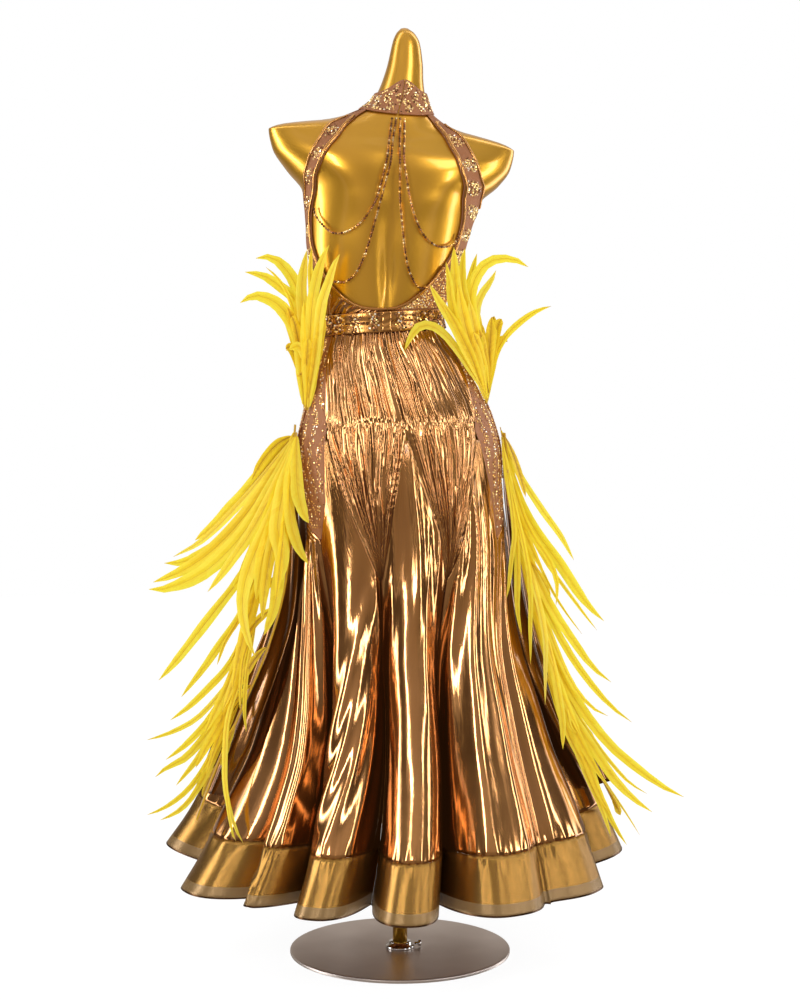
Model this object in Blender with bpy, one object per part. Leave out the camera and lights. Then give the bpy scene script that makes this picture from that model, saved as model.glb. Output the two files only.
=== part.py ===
"""Ballroom dance dress on the limbless dress form and stand that it rests on.

Metres, +Z up.  The origin is the middle of the base disc's underside.  The wearer faces +Y, so the
back of the dress is towards -Y and +X is the wearer's right.  A place on the cloth is given by
"turn", in degrees from the centre back (positive towards +X), and "level", the height before the
stance tilts it.  Every panel, the dress form under it and the trimming on it come from one surface,
dress_point().
"""
import math
from bisect import bisect_right

import bmesh
import bpy
import numpy as np
from mathutils import Vector

# ---------------------------------------------------------------- driving dimensions
GAP = 0.0003             # left between pieces that meet
SEAM_SHARE = 0.9         # of that gap, left on each side of a seam
WALL = 0.0012            # thickness of the cloth
MITRE_LIMIT = 0.35       # keeps a wall's mitre short at a sharp fold
EASE = 0.0034            # from the outside of the cloth to the dress form under it
HIP_EASE = 0.0026        # further ease round the hips
FRONT_EASE = 0.0035      # further ease over the chest
HIP_EASE_TOP = 0.990     # level where the hips' ease starts
EASE_FADE = 0.060        # height over which an ease comes in
FRONT_LIFT = 0.0010      # how far the front stands off over the chest
NORMAL_STEP = 0.0015     # step used to find a surface's outward direction

HEM_LEVEL = 0.145
BAND_TOP = 0.235         # seam between the skirt and the stiffened band at its hem
VALLEY_TIP = 0.670       # where the pleated points end
LEAF_TIP = 0.7366        # where the stoned side panels end
YOKE_BOTTOM = 0.935
WAIST = 1.105
BODICE_JOIN = 1.200      # seam between the lower back and the shoulder bands
BELT_TOP = 1.1242
BELT_BOTTOM = 1.0868
COLLAR_BOTTOM = 1.458

BASE_RADIUS = 0.194
BASE_THICKNESS = 0.006
POLE_RADIUS = 0.013
FLANGE_RADIUS = 0.0255
FLANGE_HEIGHT = 0.012
FORM_BOTTOM = 0.800

BASE_EDGE = 0.0012       # chamfer round the base disc
SCREW_HEIGHT = 0.0065    # of the thumb screw's middle above the flange's foot
NECK_TOP_RISE = 0.0015   # how far the form's top rises to its point

BELT_CREASE_TOP = 1.1160
BELT_CREASE_BOTTOM = 1.0950
BELT_SEAM_DEPTH = 0.0018     # of the belt's edges, and of its back, off the cloth
BELT_TIER_DEPTH = 0.0060     # of each folded tier off the cloth
BELT_FOLD_DEPTH = 0.0044     # of the fold between the two tiers
TAB_LEVELS = (1.0880, 1.1058, 1.1232)
TAB_TURNS = (-5.0, -0.5, 4.0)
TAB_STAND_OFF = 0.0085
TAB_WALL = 0.0018

COLLAR_TOP = 1.499
COLLAR_PEAK = 0.020      # further rise of the collar at the centre back
COLLAR_SIDE_RISE = 0.010     # how far the collar's lower edge climbs at the sides of the neck
COLLAR_OPENING = 0.8     # half the opening down the centre back, in degrees
COLLAR_STAND_OFF = 0.0006
COLLAR_WALL = 0.0018

BINDING_INSET = 0.0006
BINDING_WIDTH = 0.0062
BINDING_STAND_OFF = 0.0020
BINDING_WALL = 0.0010

CUFF_STAND_OFF = 0.0033
CUFF_WALL = 0.0024

CHAIN_DIAMETER = 0.004

# ---------------------------------------------------------------- the dress's sections
# level, centre x, centre y, half width, back depth, front depth, tilt, flare, flute depth
# "tilt" is the rise per metre towards +X; "flare" moves a point from its place round the hips (0)
# to its place round the hem (1); "flute depth" is the share of the radius that a valley loses.
SECTIONS = (
    (0.1450, -0.0097, 0.000, 0.3880, 0.3700, 0.3650, 0.0000, 1.00, 0.360),
    (0.2133, -0.0010, 0.000, 0.3520, 0.3360, 0.3300, 0.0000, 0.97, 0.345),
    (0.2900, 0.0050, 0.000, 0.3130, 0.2920, 0.2860, 0.0000, 0.92, 0.330),
    (0.3699, 0.0080, 0.000, 0.2742, 0.2500, 0.2440, 0.0000, 0.85, 0.300),
    (0.4408, 0.0070, 0.000, 0.2493, 0.2220, 0.2150, 0.0000, 0.76, 0.260),
    (0.5520, 0.0026, 0.000, 0.2149, 0.1830, 0.1720, 0.0000, 0.52, 0.170),
    (0.6225, 0.0035, 0.000, 0.1978, 0.1640, 0.1500, 0.0000, 0.30, 0.100),
    (0.7278, 0.0052, 0.000, 0.1852, 0.1470, 0.1320, 0.0000, 0.08, 0.020),
    (0.8327, 0.0000, 0.000, 0.1775, 0.1380, 0.1220, 0.0000, 0.00, 0.000),
    (0.8851, -0.0017, 0.000, 0.1760, 0.1340, 0.1160, 0.0000, 0.00, 0.000),
    (0.9373, -0.0044, 0.000, 0.1645, 0.1260, 0.1120, 0.0100, 0.00, 0.000),
    (0.9894, -0.0104, 0.000, 0.1461, 0.1100, 0.1060, 0.0250, 0.00, 0.000),
    (1.0415, -0.0208, 0.000, 0.1234, 0.0890, 0.0980, 0.0450, 0.00, 0.000),
    (1.0675, -0.0269, 0.000, 0.1118, 0.0780, 0.0940, 0.0550, 0.00, 0.000),
    (1.1055, -0.0295, 0.000, 0.0995, 0.0655, 0.0895, 0.0630, 0.00, 0.000),
    (1.1625, -0.0260, 0.000, 0.1196, 0.0740, 0.0980, 0.0300, 0.00, 0.000),
    (1.2315, -0.0236, 0.000, 0.1370, 0.0880, 0.1120, -0.010, 0.00, 0.000),
    (1.2750, -0.0190, 0.000, 0.1440, 0.0960, 0.1180, -0.035, 0.00, 0.000),
    (1.3200, -0.0140, 0.000, 0.1565, 0.1040, 0.1140, -0.055, 0.00, 0.000),
    (1.3500, -0.0135, -0.002, 0.1850, 0.1030, 0.1000, -0.070, 0.00, 0.000),
    (1.3850, -0.0146, -0.006, 0.2090, 0.0920, 0.0820, -0.0765, 0.00, 0.000),
    (1.4194, -0.0146, -0.008, 0.2155, 0.0660, 0.0610, -0.0765, 0.00, 0.000),
    (1.4295, -0.0146, -0.008, 0.2000, 0.0600, 0.0560, -0.0765, 0.00, 0.000),
    (1.4380, -0.0146, -0.007, 0.1650, 0.0560, 0.0530, -0.0765, 0.00, 0.000),
    (1.4455, -0.0130, -0.006, 0.1220, 0.0530, 0.0510, -0.0765, 0.00, 0.000),
    (1.4550, -0.0100, -0.004, 0.0920, 0.0505, 0.0490, -0.0765, 0.00, 0.000),
    (1.4690, -0.0060, 0.000, 0.0640, 0.0480, 0.0460, -0.0600, 0.00, 0.000),
    (1.4845, -0.0010, 0.004, 0.0520, 0.0450, 0.0430, -0.0300, 0.00, 0.000),
    (1.5000, 0.0020, 0.006, 0.0450, 0.0410, 0.0400, 0.0000, 0.00, 0.000),
    (1.5230, 0.0060, 0.010, 0.0388, 0.0380, 0.0370, 0.0000, 0.00, 0.000),
    (1.5570, 0.0110, 0.015, 0.0330, 0.0330, 0.0320, 0.0000, 0.00, 0.000),
    (1.5910, 0.0125, 0.019, 0.0265, 0.0265, 0.0260, 0.0000, 0.00, 0.000),
    (1.6080, 0.0115, 0.021, 0.0182, 0.0182, 0.0180, 0.0000, 0.00, 0.000),
    (1.6165, 0.0100, 0.022, 0.0085, 0.0085, 0.0085, 0.0000, 0.00, 0.000),
)

# ---------------------------------------------------------------- the skirt's flutes
# Each flute runs from its own valley to the next one: turn of the valley round the hips, turn of
# the valley round the hem, valley depth (share of the section's), crest reach, crest lift.
FLUTES = (
    (-60.0, -38.0, 1.00, 0.985, 0.004),
    (-18.4, -14.5, 1.00, 1.000, 0.000),
    (24.1, 10.4, 1.05, 1.000, 0.004),
    (60.0, 41.0, 0.24, 1.000, 0.006),
    (82.0, 72.0, 0.85, 1.050, 0.030),
    (112.0, 112.0, 1.00, 1.010, 0.010),
    (150.0, 140.0, 1.00, 1.000, 0.000),
    (172.0, 166.0, 0.90, 1.000, 0.000),
    (192.0, 192.0, 0.90, 1.000, 0.000),
    (210.0, 217.0, 1.00, 1.000, 0.004),
    (238.0, 238.0, 1.00, 1.060, 0.040),
    (263.0, 272.0, 0.90, 1.010, 0.004),
    (284.0, 309.0, 0.95, 0.980, 0.010),
)
# hills and hollows of the body: turn and level of the middle, width and height over which it
# fades, and how far it moves the surface forwards
BUST = (142.0, 1.255, 21.0, 0.046, 0.016)
SHOULDER_BLADE = (30.0, 1.350, 14.0, 0.045, -0.005)
SPINE = (-2.0, 1.270, 9.0, 0.110, 0.009)

FLUTE_ROUNDNESS = 0.72   # how far a crest spreads over its valleys
VALLEY_SHARPNESS = 1.25

# ---------------------------------------------------------------- seams of the skirt
# level and turn of each seam, from the waist down
LEAF_LEFT_BACK = ((WAIST, -61.6), (1.040, -63.0), (0.980, -56.0), (0.920, -50.6), (0.800, -51.0),
                  (LEAF_TIP, -59.2))
LEAF_LEFT_FRONT = ((WAIST, -118.0), (0.920, -120.0), (0.830, -92.0), (LEAF_TIP, -60.8))
LEAF_RIGHT_BACK = ((WAIST, 80.0), (1.040, 69.0), (0.985, 56.0), (0.920, 46.5), (0.820, 56.0),
                   (LEAF_TIP, 59.2))
LEAF_RIGHT_FRONT = ((WAIST, 118.0), (0.920, 120.0), (0.830, 92.0), (LEAF_TIP, 60.8))
POINT_BACK_LEFT = (((0.920, -50.6), (VALLEY_TIP, -19.2)), ((0.915, 0.0), (VALLEY_TIP, -17.6)))
POINT_BACK_RIGHT = (((0.915, 0.0), (VALLEY_TIP, 23.3)), ((0.920, 46.5), (VALLEY_TIP, 24.9)))
POINT_FRONT_RIGHT = (((0.920, 120.0), (VALLEY_TIP, 149.2)), ((0.915, 180.0), (VALLEY_TIP, 150.8)))
POINT_FRONT_LEFT = (((0.915, 180.0), (VALLEY_TIP, 209.2)), ((0.920, 240.0), (VALLEY_TIP, 210.8)))

SKIRT_LEVELS = (0.905, 0.855, 0.795, LEAF_TIP, VALLEY_TIP, 0.655, 0.590, 0.510, 0.430, 0.340,
                BAND_TOP)
YOKE_LEVELS = (WAIST - GAP, 1.087, 1.045, 0.990)
BODY_LEVELS = (1.130, 1.160, 1.200, 1.240, 1.270, 1.300, 1.315, 1.330, 1.360, 1.390, 1.4245,
               1.434, 1.442, 1.450, COLLAR_BOTTOM)

# ---------------------------------------------------------------- edges of the bodice
# level, turn of the open back's edge, turn of the armhole's edge
BAND_LEFT = (
    (1.200, -63.0, -90.0), (1.240, -71.5, -90.0), (1.270, -73.0, -90.0), (1.300, -68.0, -88.0),
    (1.315, -62.0, -80.0), (1.330, -56.0, -70.0), (1.360, -41.5, -52.0), (1.390, -32.5, -41.5),
    (1.4245, -24.5, -34.5), (1.434, -25.5, -36.5), (1.442, -31.0, -42.0), (1.450, -39.5, -52.0),
    (COLLAR_BOTTOM, -48.0, -63.0),
)
BAND_RIGHT = (
    (1.200, 47.0, 90.0), (1.240, 55.5, 90.0), (1.270, 56.0, 90.0), (1.300, 51.0, 86.0),
    (1.315, 47.5, 78.0), (1.330, 44.0, 68.0), (1.345, 39.5, 58.0), (1.360, 34.0, 49.0),
    (1.390, 28.5, 40.5), (1.4245, 23.5, 34.5), (1.434, 25.0, 37.0), (1.442, 30.5, 43.5),
    (1.450, 38.0, 54.0), (COLLAR_BOTTOM, 45.0, 66.0),
)
# turn of the front's armhole edge from the centre front, by level
FRONT_ARMHOLE = (
    (WAIST, 90.0), (1.270, 90.0), (1.300, 88.0), (1.315, 79.0), (1.330, 70.0), (1.360, 58.0),
    (1.390, 50.0), (1.4245, 46.0), (1.434, 49.0), (1.442, 55.0), (1.450, 66.0),
    (COLLAR_BOTTOM, 80.0),
)
# turn and level of the open back's lower edge
LOW_BACK_LEFT = ((-90.0, 1.200), (-63.0, 1.200), (-57.5, 1.185), (-50.0, 1.168), (-40.0, 1.151),
                 (-31.0, 1.140), (-20.0, 1.133), (-6.0, 1.130), (-0.4, 1.1295))
LOW_BACK_RIGHT = ((0.4, 1.1295), (6.0, 1.130), (17.0, 1.137), (24.0, 1.147), (31.0, 1.160),
                  (39.0, 1.179), (47.0, 1.200), (90.0, 1.200))

# ---------------------------------------------------------------- chains across the open back
# x and height of each strand's points, from the collar down
CHAINS = (
    ("chain_outer_left", ((-0.020, 1.447), (-0.027, 1.408), (-0.034, 1.370), (-0.048, 1.316),
                          (-0.061, 1.290), (-0.077, 1.270), (-0.100, 1.256), (-0.121, 1.256),
                          (-0.138, 1.272), (-0.147, 1.287), (-0.1495, 1.297))),
    ("chain_inner_left", ((-0.013, 1.447), (-0.021, 1.408), (-0.027, 1.370), (-0.038, 1.327),
                          (-0.055, 1.261), (-0.068, 1.218), (-0.082, 1.188), (-0.100, 1.173),
                          (-0.115, 1.174))),
    ("chain_inner_right", ((-0.006, 1.447), (-0.0095, 1.408), (-0.011, 1.370), (-0.011, 1.312),
                           (-0.005, 1.256), (0.003, 1.206), (0.015, 1.175), (0.027, 1.163),
                           (0.036, 1.165))),
    ("chain_outer_right", ((0.001, 1.447), (-0.0018, 1.408), (-0.004, 1.377), (0.001, 1.337),
                           (0.010, 1.295), (0.028, 1.255), (0.052, 1.235), (0.076, 1.235),
                           (0.088, 1.244), (0.092, 1.253))),
)
CHAIN_STAND_OFF = 0.0032

# ---------------------------------------------------------------- feathers
# Each row is one feather: place along its strip (0 top or back, 1 bottom or front), tip x and
# height, how far its middle bows up (+) or down (-), and its width.
FEATHERS_LEFT_UP = (
    (0.03, -0.150, 1.205, 0.020, 0.018), (0.12, -0.206, 1.058, 0.024, 0.016),
    (0.21, -0.240, 1.205, 0.045, 0.015), (0.30, -0.256, 1.222, 0.040, 0.016),
    (0.39, -0.284, 1.136, 0.055, 0.018), (0.48, -0.276, 1.192, 0.050, 0.018),
    (0.57, -0.205, 1.205, 0.030, 0.018), (0.66, -0.198, 1.262, 0.016, 0.009),
    (0.75, -0.184, 1.222, 0.010, 0.017), (0.84, -0.168, 1.232, 0.010, 0.018),
    (0.95, -0.138, 1.240, 0.014, 0.018),
)
FEATHERS_RIGHT_UP = (
    (0.03, 0.050, 1.166, 0.020, 0.016), (0.12, 0.076, 1.208, 0.020, 0.018),
    (0.21, 0.160, 1.215, 0.020, 0.018), (0.30, 0.186, 1.226, 0.040, 0.018),
    (0.39, 0.226, 1.206, 0.045, 0.018), (0.48, 0.262, 1.134, 0.062, 0.012),
    (0.57, 0.214, 1.104, 0.060, 0.014), (0.66, 0.196, 1.195, 0.030, 0.018),
    (0.75, 0.136, 1.230, 0.006, 0.018), (0.84, 0.112, 1.235, 0.006, 0.018),
    (0.95, 0.090, 1.238, 0.004, 0.017),
)
FEATHERS_LEFT_DOWN = (
    (0.014, -0.207, 0.822, 0.008, 0.016), (0.022, -0.352, 0.732, 0.040, 0.018),
    (0.030, -0.398, 0.697, 0.050, 0.020), (0.045, -0.436, 0.648, 0.060, 0.020),
    (0.060, -0.218, 0.688, 0.010, 0.020), (0.075, -0.380, 0.676, 0.045, 0.018),
    (0.110, -0.332, 0.634, 0.030, 0.020), (0.140, -0.286, 0.640, 0.020, 0.020),
    (0.180, -0.300, 0.560, 0.030, 0.020), (0.220, -0.346, 0.596, 0.030, 0.018),
    (0.260, -0.246, 0.556, 0.012, 0.020), (0.310, -0.420, 0.482, 0.050, 0.018),
    (0.366, -0.380, 0.452, 0.040, 0.016), (0.416, -0.300, 0.420, 0.022, 0.016),
    (0.450, -0.402, 0.412, 0.040, 0.016), (0.500, -0.436, 0.378, 0.040, 0.016),
    (0.550, -0.380, 0.345, 0.030, 0.016), (0.600, -0.424, 0.332, 0.030, 0.016),
    (0.650, -0.400, 0.300, 0.024, 0.014), (0.700, -0.436, 0.290, 0.024, 0.016),
    (0.750, -0.356, 0.240, 0.010, 0.014), (0.800, -0.436, 0.246, 0.020, 0.016),
    (0.860, -0.396, 0.190, 0.010, 0.014), (0.960, -0.416, 0.176, 0.012, 0.014),
)
FEATHERS_RIGHT_DOWN = (
    (0.010, 0.250, 0.690, 0.020, 0.016), (0.030, 0.292, 0.704, 0.030, 0.018),
    (0.050, 0.344, 0.596, 0.036, 0.018), (0.075, 0.316, 0.640, 0.030, 0.016),
    (0.110, 0.258, 0.600, 0.010, 0.016), (0.150, 0.330, 0.560, 0.024, 0.018),
    (0.200, 0.270, 0.520, 0.008, 0.014), (0.250, 0.318, 0.500, 0.014, 0.016),
    (0.310, 0.352, 0.488, 0.020, 0.018), (0.370, 0.380, 0.468, 0.026, 0.018),
    (0.430, 0.326, 0.384, 0.008, 0.016), (0.480, 0.396, 0.402, 0.030, 0.018),
    (0.530, 0.356, 0.370, 0.014, 0.016), (0.580, 0.390, 0.340, 0.020, 0.018),
    (0.630, 0.420, 0.320, 0.024, 0.016), (0.680, 0.470, 0.280, 0.040, 0.018),
    (0.738, 0.402, 0.270, 0.026, 0.014), (0.790, 0.442, 0.252, 0.020, 0.016),
    (0.850, 0.410, 0.222, 0.018, 0.014), (0.900, 0.432, 0.224, 0.014, 0.014),
    (0.960, 0.410, 0.180, 0.008, 0.014),
)
FEATHER_THICKNESS = 0.0013
# share of the way along a feather, and its width there as a share of its widest
FAN_SHAPE = ((0.0, 0.20), (0.24, 0.85), (0.62, 1.0), (1.0, 0.12))
SPRAY_SHAPE = ((0.0, 0.20), (0.30, 0.80), (0.66, 1.0), (1.0, 0.12))
# the narrow strips that the feathers grow from: x, y and height of each point of the middle line
STRIP_LEFT_UP = ((-0.1670, -0.034, 0.985), (-0.1670, 0.026, 0.985))
STRIP_RIGHT_UP = ((0.1510, -0.034, 0.985), (0.1510, 0.026, 0.985))
STRIP_LEFT_DOWN = ((-0.183, -0.010, 0.930), (-0.190, -0.032, 0.830), (-0.194, -0.046, 0.740),
                   (-0.207, -0.056, 0.640), (-0.238, -0.064, 0.540), (-0.282, -0.070, 0.440),
                   (-0.322, -0.074, 0.350), (-0.356, -0.078, 0.262))
STRIP_RIGHT_DOWN = ((0.181, -0.010, 0.915), (0.187, -0.028, 0.833), (0.197, -0.038, 0.763),
                    (0.210, -0.046, 0.676), (0.232, -0.052, 0.572), (0.263, -0.056, 0.485),
                    (0.297, -0.060, 0.415), (0.374, -0.066, 0.262))
# the floats: x, y and height of the middle line, and width
FLOAT_LEFT = ((-0.186, 0.010, 0.900, 0.010), (-0.192, -0.010, 0.800, 0.014),
              (-0.199, -0.026, 0.700, 0.020), (-0.218, -0.036, 0.600, 0.034),
              (-0.254, -0.044, 0.500, 0.046), (-0.298, -0.050, 0.400, 0.054),
              (-0.340, -0.054, 0.300, 0.056))
FLOAT_RIGHT = ((0.185, 0.010, 0.880, 0.010), (0.193, -0.012, 0.790, 0.014),
               (0.207, -0.022, 0.700, 0.022), (0.227, -0.030, 0.600, 0.036),
               (0.257, -0.034, 0.500, 0.048), (0.304, -0.040, 0.400, 0.058),
               (0.352, -0.044, 0.300, 0.060))
FLOAT_SLANT = 45.0       # how far the floats turn their outer edge to the front, in degrees
STRIP_THICKNESS = 0.0026
STRIP_POINTS = 6         # points along a long strip
STRIP_UP_WIDTH = 0.008
STRIP_DOWN_WIDTH = 0.026
LANES = 8                # lanes of feathers across a long strip
LANE_STEP = 5            # lanes from one feather to the next, so that neighbours never touch
LANE_SPREAD = 16.0       # how far the lanes part, per metre that a tip stands out from its strip
FAN_SPREAD = 9.0         # how far an upward fan opens, per metre of feather


# ---------------------------------------------------------------- tables and curves
def slopes_of(xs, ys):
    """Slopes for a cubic through the table's points that never overshoots them."""
    steps = np.diff(xs)
    rises = np.diff(ys, axis=0) / steps[:, None]
    slopes = np.zeros_like(ys)
    before, after = rises[:-1], rises[1:]
    agree = before * after > 0.0
    mean = 2.0 * before * after / np.where(agree, before + after, 1.0)
    slopes[1:-1] = np.where(agree, mean, 0.0)
    slopes[0] = rises[0]
    slopes[-1] = rises[-1]
    return slopes


class SmoothTable:
    """Rows of numbers read between their first column's values along a smooth curve."""

    def __init__(self, rows):
        table = np.array(rows, dtype=float)
        self.xs = table[:, 0]
        self.ys = table[:, 1:]
        self.slopes = slopes_of(self.xs, self.ys)

    def at(self, x):
        x = min(max(x, self.xs[0]), self.xs[-1])
        i = min(max(bisect_right(self.xs, x) - 1, 0), len(self.xs) - 2)
        width = self.xs[i + 1] - self.xs[i]
        t = (x - self.xs[i]) / width
        rise = self.ys[i + 1] - self.ys[i]
        m0 = self.slopes[i] * width
        m1 = self.slopes[i + 1] * width
        return self.ys[i] + t * m0 + t * t * (3 * rise - 2 * m0 - m1) + t ** 3 * (m0 + m1 - 2 * rise)


def between(rows, x, column=1):
    """Straight-line reading of one column of a table whose first column rises or falls."""
    rows = sorted(rows)
    return float(np.interp(x, [row[0] for row in rows], [row[column] for row in rows]))


def bump(x, middle, width):
    """A soft hill of height 1."""
    return math.exp(-((x - middle) / width) ** 2)


def hill(form, turn, level):
    """How far one hill or hollow of the body moves the surface forwards at this place."""
    middle, height, width, fade, rise = form
    return rise * bump(turn, middle, width) * bump(level, height, fade)


def turn_from_back(turn):
    """The same turn between -180 and 180 degrees."""
    return (turn + 180.0) % 360.0 - 180.0


SECTION_TABLE = SmoothTable(SECTIONS)
FLUTE_STARTS = [row[0] for row in FLUTES]


# ---------------------------------------------------------------- the one surface
def flute_at(turn):
    """Turn at the hem, valley (0 on a crest, 1 in a valley), depth, reach and lift of a flute."""
    wrapped = (turn - FLUTE_STARTS[0]) % 360.0 + FLUTE_STARTS[0]
    i = bisect_right(FLUTE_STARTS, wrapped) - 1
    start, hem_start, depth_start, reach, lift = FLUTES[i]
    if i + 1 < len(FLUTES):
        end, hem_end, depth_end = FLUTES[i + 1][:3]
    else:
        end, hem_end, depth_end = FLUTES[0][0] + 360.0, FLUTES[0][1] + 360.0, FLUTES[0][2]
    across = 2.0 * (wrapped - start) / (end - start) - 1.0
    spread = across + FLUTE_ROUNDNESS * math.sin(math.pi * across) / math.pi
    hem_turn = 0.5 * (hem_start + hem_end) + 0.5 * (hem_end - hem_start) * spread
    valley = (0.5 - 0.5 * math.cos(math.pi * across)) ** VALLEY_SHARPNESS
    depth = depth_start + (depth_end - depth_start) * 0.5 * (across + 1.0)
    return hem_turn - wrapped, valley, depth, reach, lift


def surface(turn, level):
    """The outside of the plain cloth."""
    cx, cy, half, back, front, tilt, flare, flute = SECTION_TABLE.at(level)
    scale = 1.0
    rise = 0.0
    if flare > 0.0:
        shift, valley, depth, reach, lift = flute_at(turn)
        scale = 1.0 - flute * depth * valley + flare * (reach - 1.0) * (1.0 - valley)
        rise = flare * flare * lift * (1.0 - valley)
        turn = turn + flare * shift
    angle = math.radians(turn)
    x = half * math.sin(angle) * scale
    cosine = math.cos(angle)
    y = -(back if cosine > 0.0 else front) * cosine * scale
    if level > WAIST:
        from_back = abs(turn_from_back(turn))
        y += hill(BUST if cosine < 0.0 else SHOULDER_BLADE, from_back, level)
    return Vector((cx + x, cy + y, level + tilt * x + rise))


def dress_point(turn, level, out=0.0):
    """A point on the cloth's outside, moved outwards along the surface's own direction."""
    here = surface(turn, level)
    if out == 0.0:
        return here
    row = SECTION_TABLE.at(level)
    turn_step = math.degrees(NORMAL_STEP / max(row[2], 0.02))
    across = surface(turn + turn_step, level) - surface(turn - turn_step, level)
    low = max(level - NORMAL_STEP, SECTIONS[0][0])
    high = min(level + NORMAL_STEP, SECTIONS[-1][0])
    up = surface(turn, high) - surface(turn, low)
    return here + across.cross(up).normalized() * out


def form_point(turn, level):
    """A point on the dress form, inside the cloth, with the furrow along its spine."""
    hips = min(1.0, max(0.0, (HIP_EASE_TOP - level) / EASE_FADE))
    chest = min(1.0, max(0.0, (level - BELT_TOP) / EASE_FADE)) if level < COLLAR_BOTTOM else 0.0
    front = max(0.0, -math.cos(math.radians(turn)))
    point = dress_point(turn, level, -EASE - HIP_EASE * hips - FRONT_EASE * chest * front)
    point.y += hill(SPINE, turn_from_back(turn), level)
    return point


def turn_for_gap(turn, level):
    """Most of a gap, in degrees of turn at this place."""
    across = (surface(turn + 0.05, level) - surface(turn - 0.05, level)).length / 0.1
    return SEAM_SHARE * GAP / max(across, 1e-5)


# ---------------------------------------------------------------- solids
def material(name, colour, roughness, metallic):
    made = bpy.data.materials.new(name)
    made.use_nodes = True
    shader = made.node_tree.nodes["Principled BSDF"]
    shader.inputs["Base Color"].default_value = (*colour, 1.0)
    shader.inputs["Roughness"].default_value = roughness
    shader.inputs["Metallic"].default_value = metallic
    return made


def add_object(name, points, faces, finish):
    """One named solid, with its faces turned outwards."""
    mesh = bpy.data.meshes.new(name)
    mesh.from_pydata([tuple(point) for point in points], [], faces)
    mesh.materials.append(finish)
    work = bmesh.new()
    work.from_mesh(mesh)
    bmesh.ops.recalc_face_normals(work, faces=work.faces)
    work.to_mesh(mesh)
    work.free()
    mesh.shade_smooth()
    mesh.set_sharp_from_angle(angle=math.radians(40.0))
    made = bpy.data.objects.new(name, mesh)
    bpy.context.collection.objects.link(made)
    return made


def grid_solid(name, outer, inner, finish):
    """A wall between two grids of points."""
    rows, columns = len(outer), len(outer[0])
    points = [p for row in outer for p in row] + [p for row in inner for p in row]
    shift = rows * columns

    def at(i, j, side):
        return side * shift + i * columns + j

    faces = []
    for i in range(rows - 1):
        for j in range(columns - 1):
            n = j + 1
            falling = (outer[i][j] - outer[i + 1][n]).length
            rising = (outer[i][n] - outer[i + 1][j]).length
            for side in (0, 1):
                a, b = at(i, j, side), at(i, n, side)
                c, d = at(i + 1, n, side), at(i + 1, j, side)
                pair = ((a, b, c), (a, c, d)) if falling < rising else ((a, b, d), (b, c, d))
                faces += pair if side == 0 else [triangle[::-1] for triangle in pair]
    for j in range(columns - 1):
        for i in (0, rows - 1):
            faces.append((at(i, j, 0), at(i, j, 1), at(i, j + 1, 1), at(i, j + 1, 0)))
    for i in range(rows - 1):
        for j in (0, columns - 1):
            faces.append((at(i, j, 0), at(i + 1, j, 0), at(i + 1, j, 1), at(i, j, 1)))
    return add_object(name, points, faces, finish)


def cloth(name, places, finish, relief=None, out=0.0, wall=WALL):
    """A cloth panel from a grid of (turn, level) places, with an optional relief in metres."""
    outer = []
    for i, row in enumerate(places):
        lifts = [out + (relief(i, j) if relief else 0.0) for j in range(len(row))]
        outer.append([dress_point(turn, level, lift) for (turn, level), lift in zip(row, lifts)])
    return grid_solid(name, outer, thickened(outer, wall), finish)


def thickened(outer, wall):
    """The inner face of a wall, mitred at each fold so that the wall keeps its thickness."""
    rows, columns = len(outer), len(outer[0])
    inner = []
    for i in range(rows):
        inner_row = []
        for j in range(columns):
            up = outer[min(i + 1, rows - 1)][j] - outer[max(i - 1, 0)][j]
            sides = []
            for a, b in ((j - 1, j), (j, j + 1)):
                if a >= 0 and b < columns:
                    sides.append((outer[i][b] - outer[i][a]).cross(up).normalized())
            if len(sides) == 1:
                move = sides[0]
            else:
                move = (sides[0] + sides[1]) / max(1.0 + sides[0].dot(sides[1]), MITRE_LIMIT)
            inner_row.append(outer[i][j] - move * wall * upward_sign(outer))
        inner.append(inner_row)
    return inner


def upward_sign(grid):
    """1 where a grid's rows climb, -1 where they go down, so that a wall is always added inside."""
    return 1.0 if grid[-1][0].z > grid[0][0].z else -1.0


def strip_places(levels, left_edge, right_edge, shares):
    """Places between two edges, given as functions of level, with a gap at each edge."""
    places = []
    for level in levels:
        left, right = left_edge(level), right_edge(level)
        start = left + turn_for_gap(left, level)
        end = right - turn_for_gap(right, level)
        places.append([(start + (end - start) * share, level) for share in shares])
    return places


def even(count):
    return [i / count for i in range(count + 1)]


# ---------------------------------------------------------------- skirt
def leaf_panels(finish):
    """The stoned side panels, from the waist down to their points."""
    levels = YOKE_LEVELS + (YOKE_BOTTOM,) + SKIRT_LEVELS[:4]
    for name, low, high in (("leaf_panel_left", LEAF_LEFT_FRONT, LEAF_LEFT_BACK),
                            ("leaf_panel_right", LEAF_RIGHT_BACK, LEAF_RIGHT_FRONT)):
        places = strip_places(levels, lambda h: between(low, h), lambda h: between(high, h), even(4))
        cloth(name, places, finish)


def pleated_yoke(name, left_seam, right_seam, pleats, finish):
    """Fine pleats from the waist to the crinkled seam round the hips."""
    levels = YOKE_LEVELS + (YOKE_BOTTOM + GAP / 2,)
    heights = (0.0004, 0.0009, 0.0019, 0.0023, 0.0016)
    places = strip_places(levels, left_seam, right_seam, even(2 * pleats))
    cloth(name, places, finish, relief=lambda i, j: heights[i] if j % 2 else 0.0)


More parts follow.
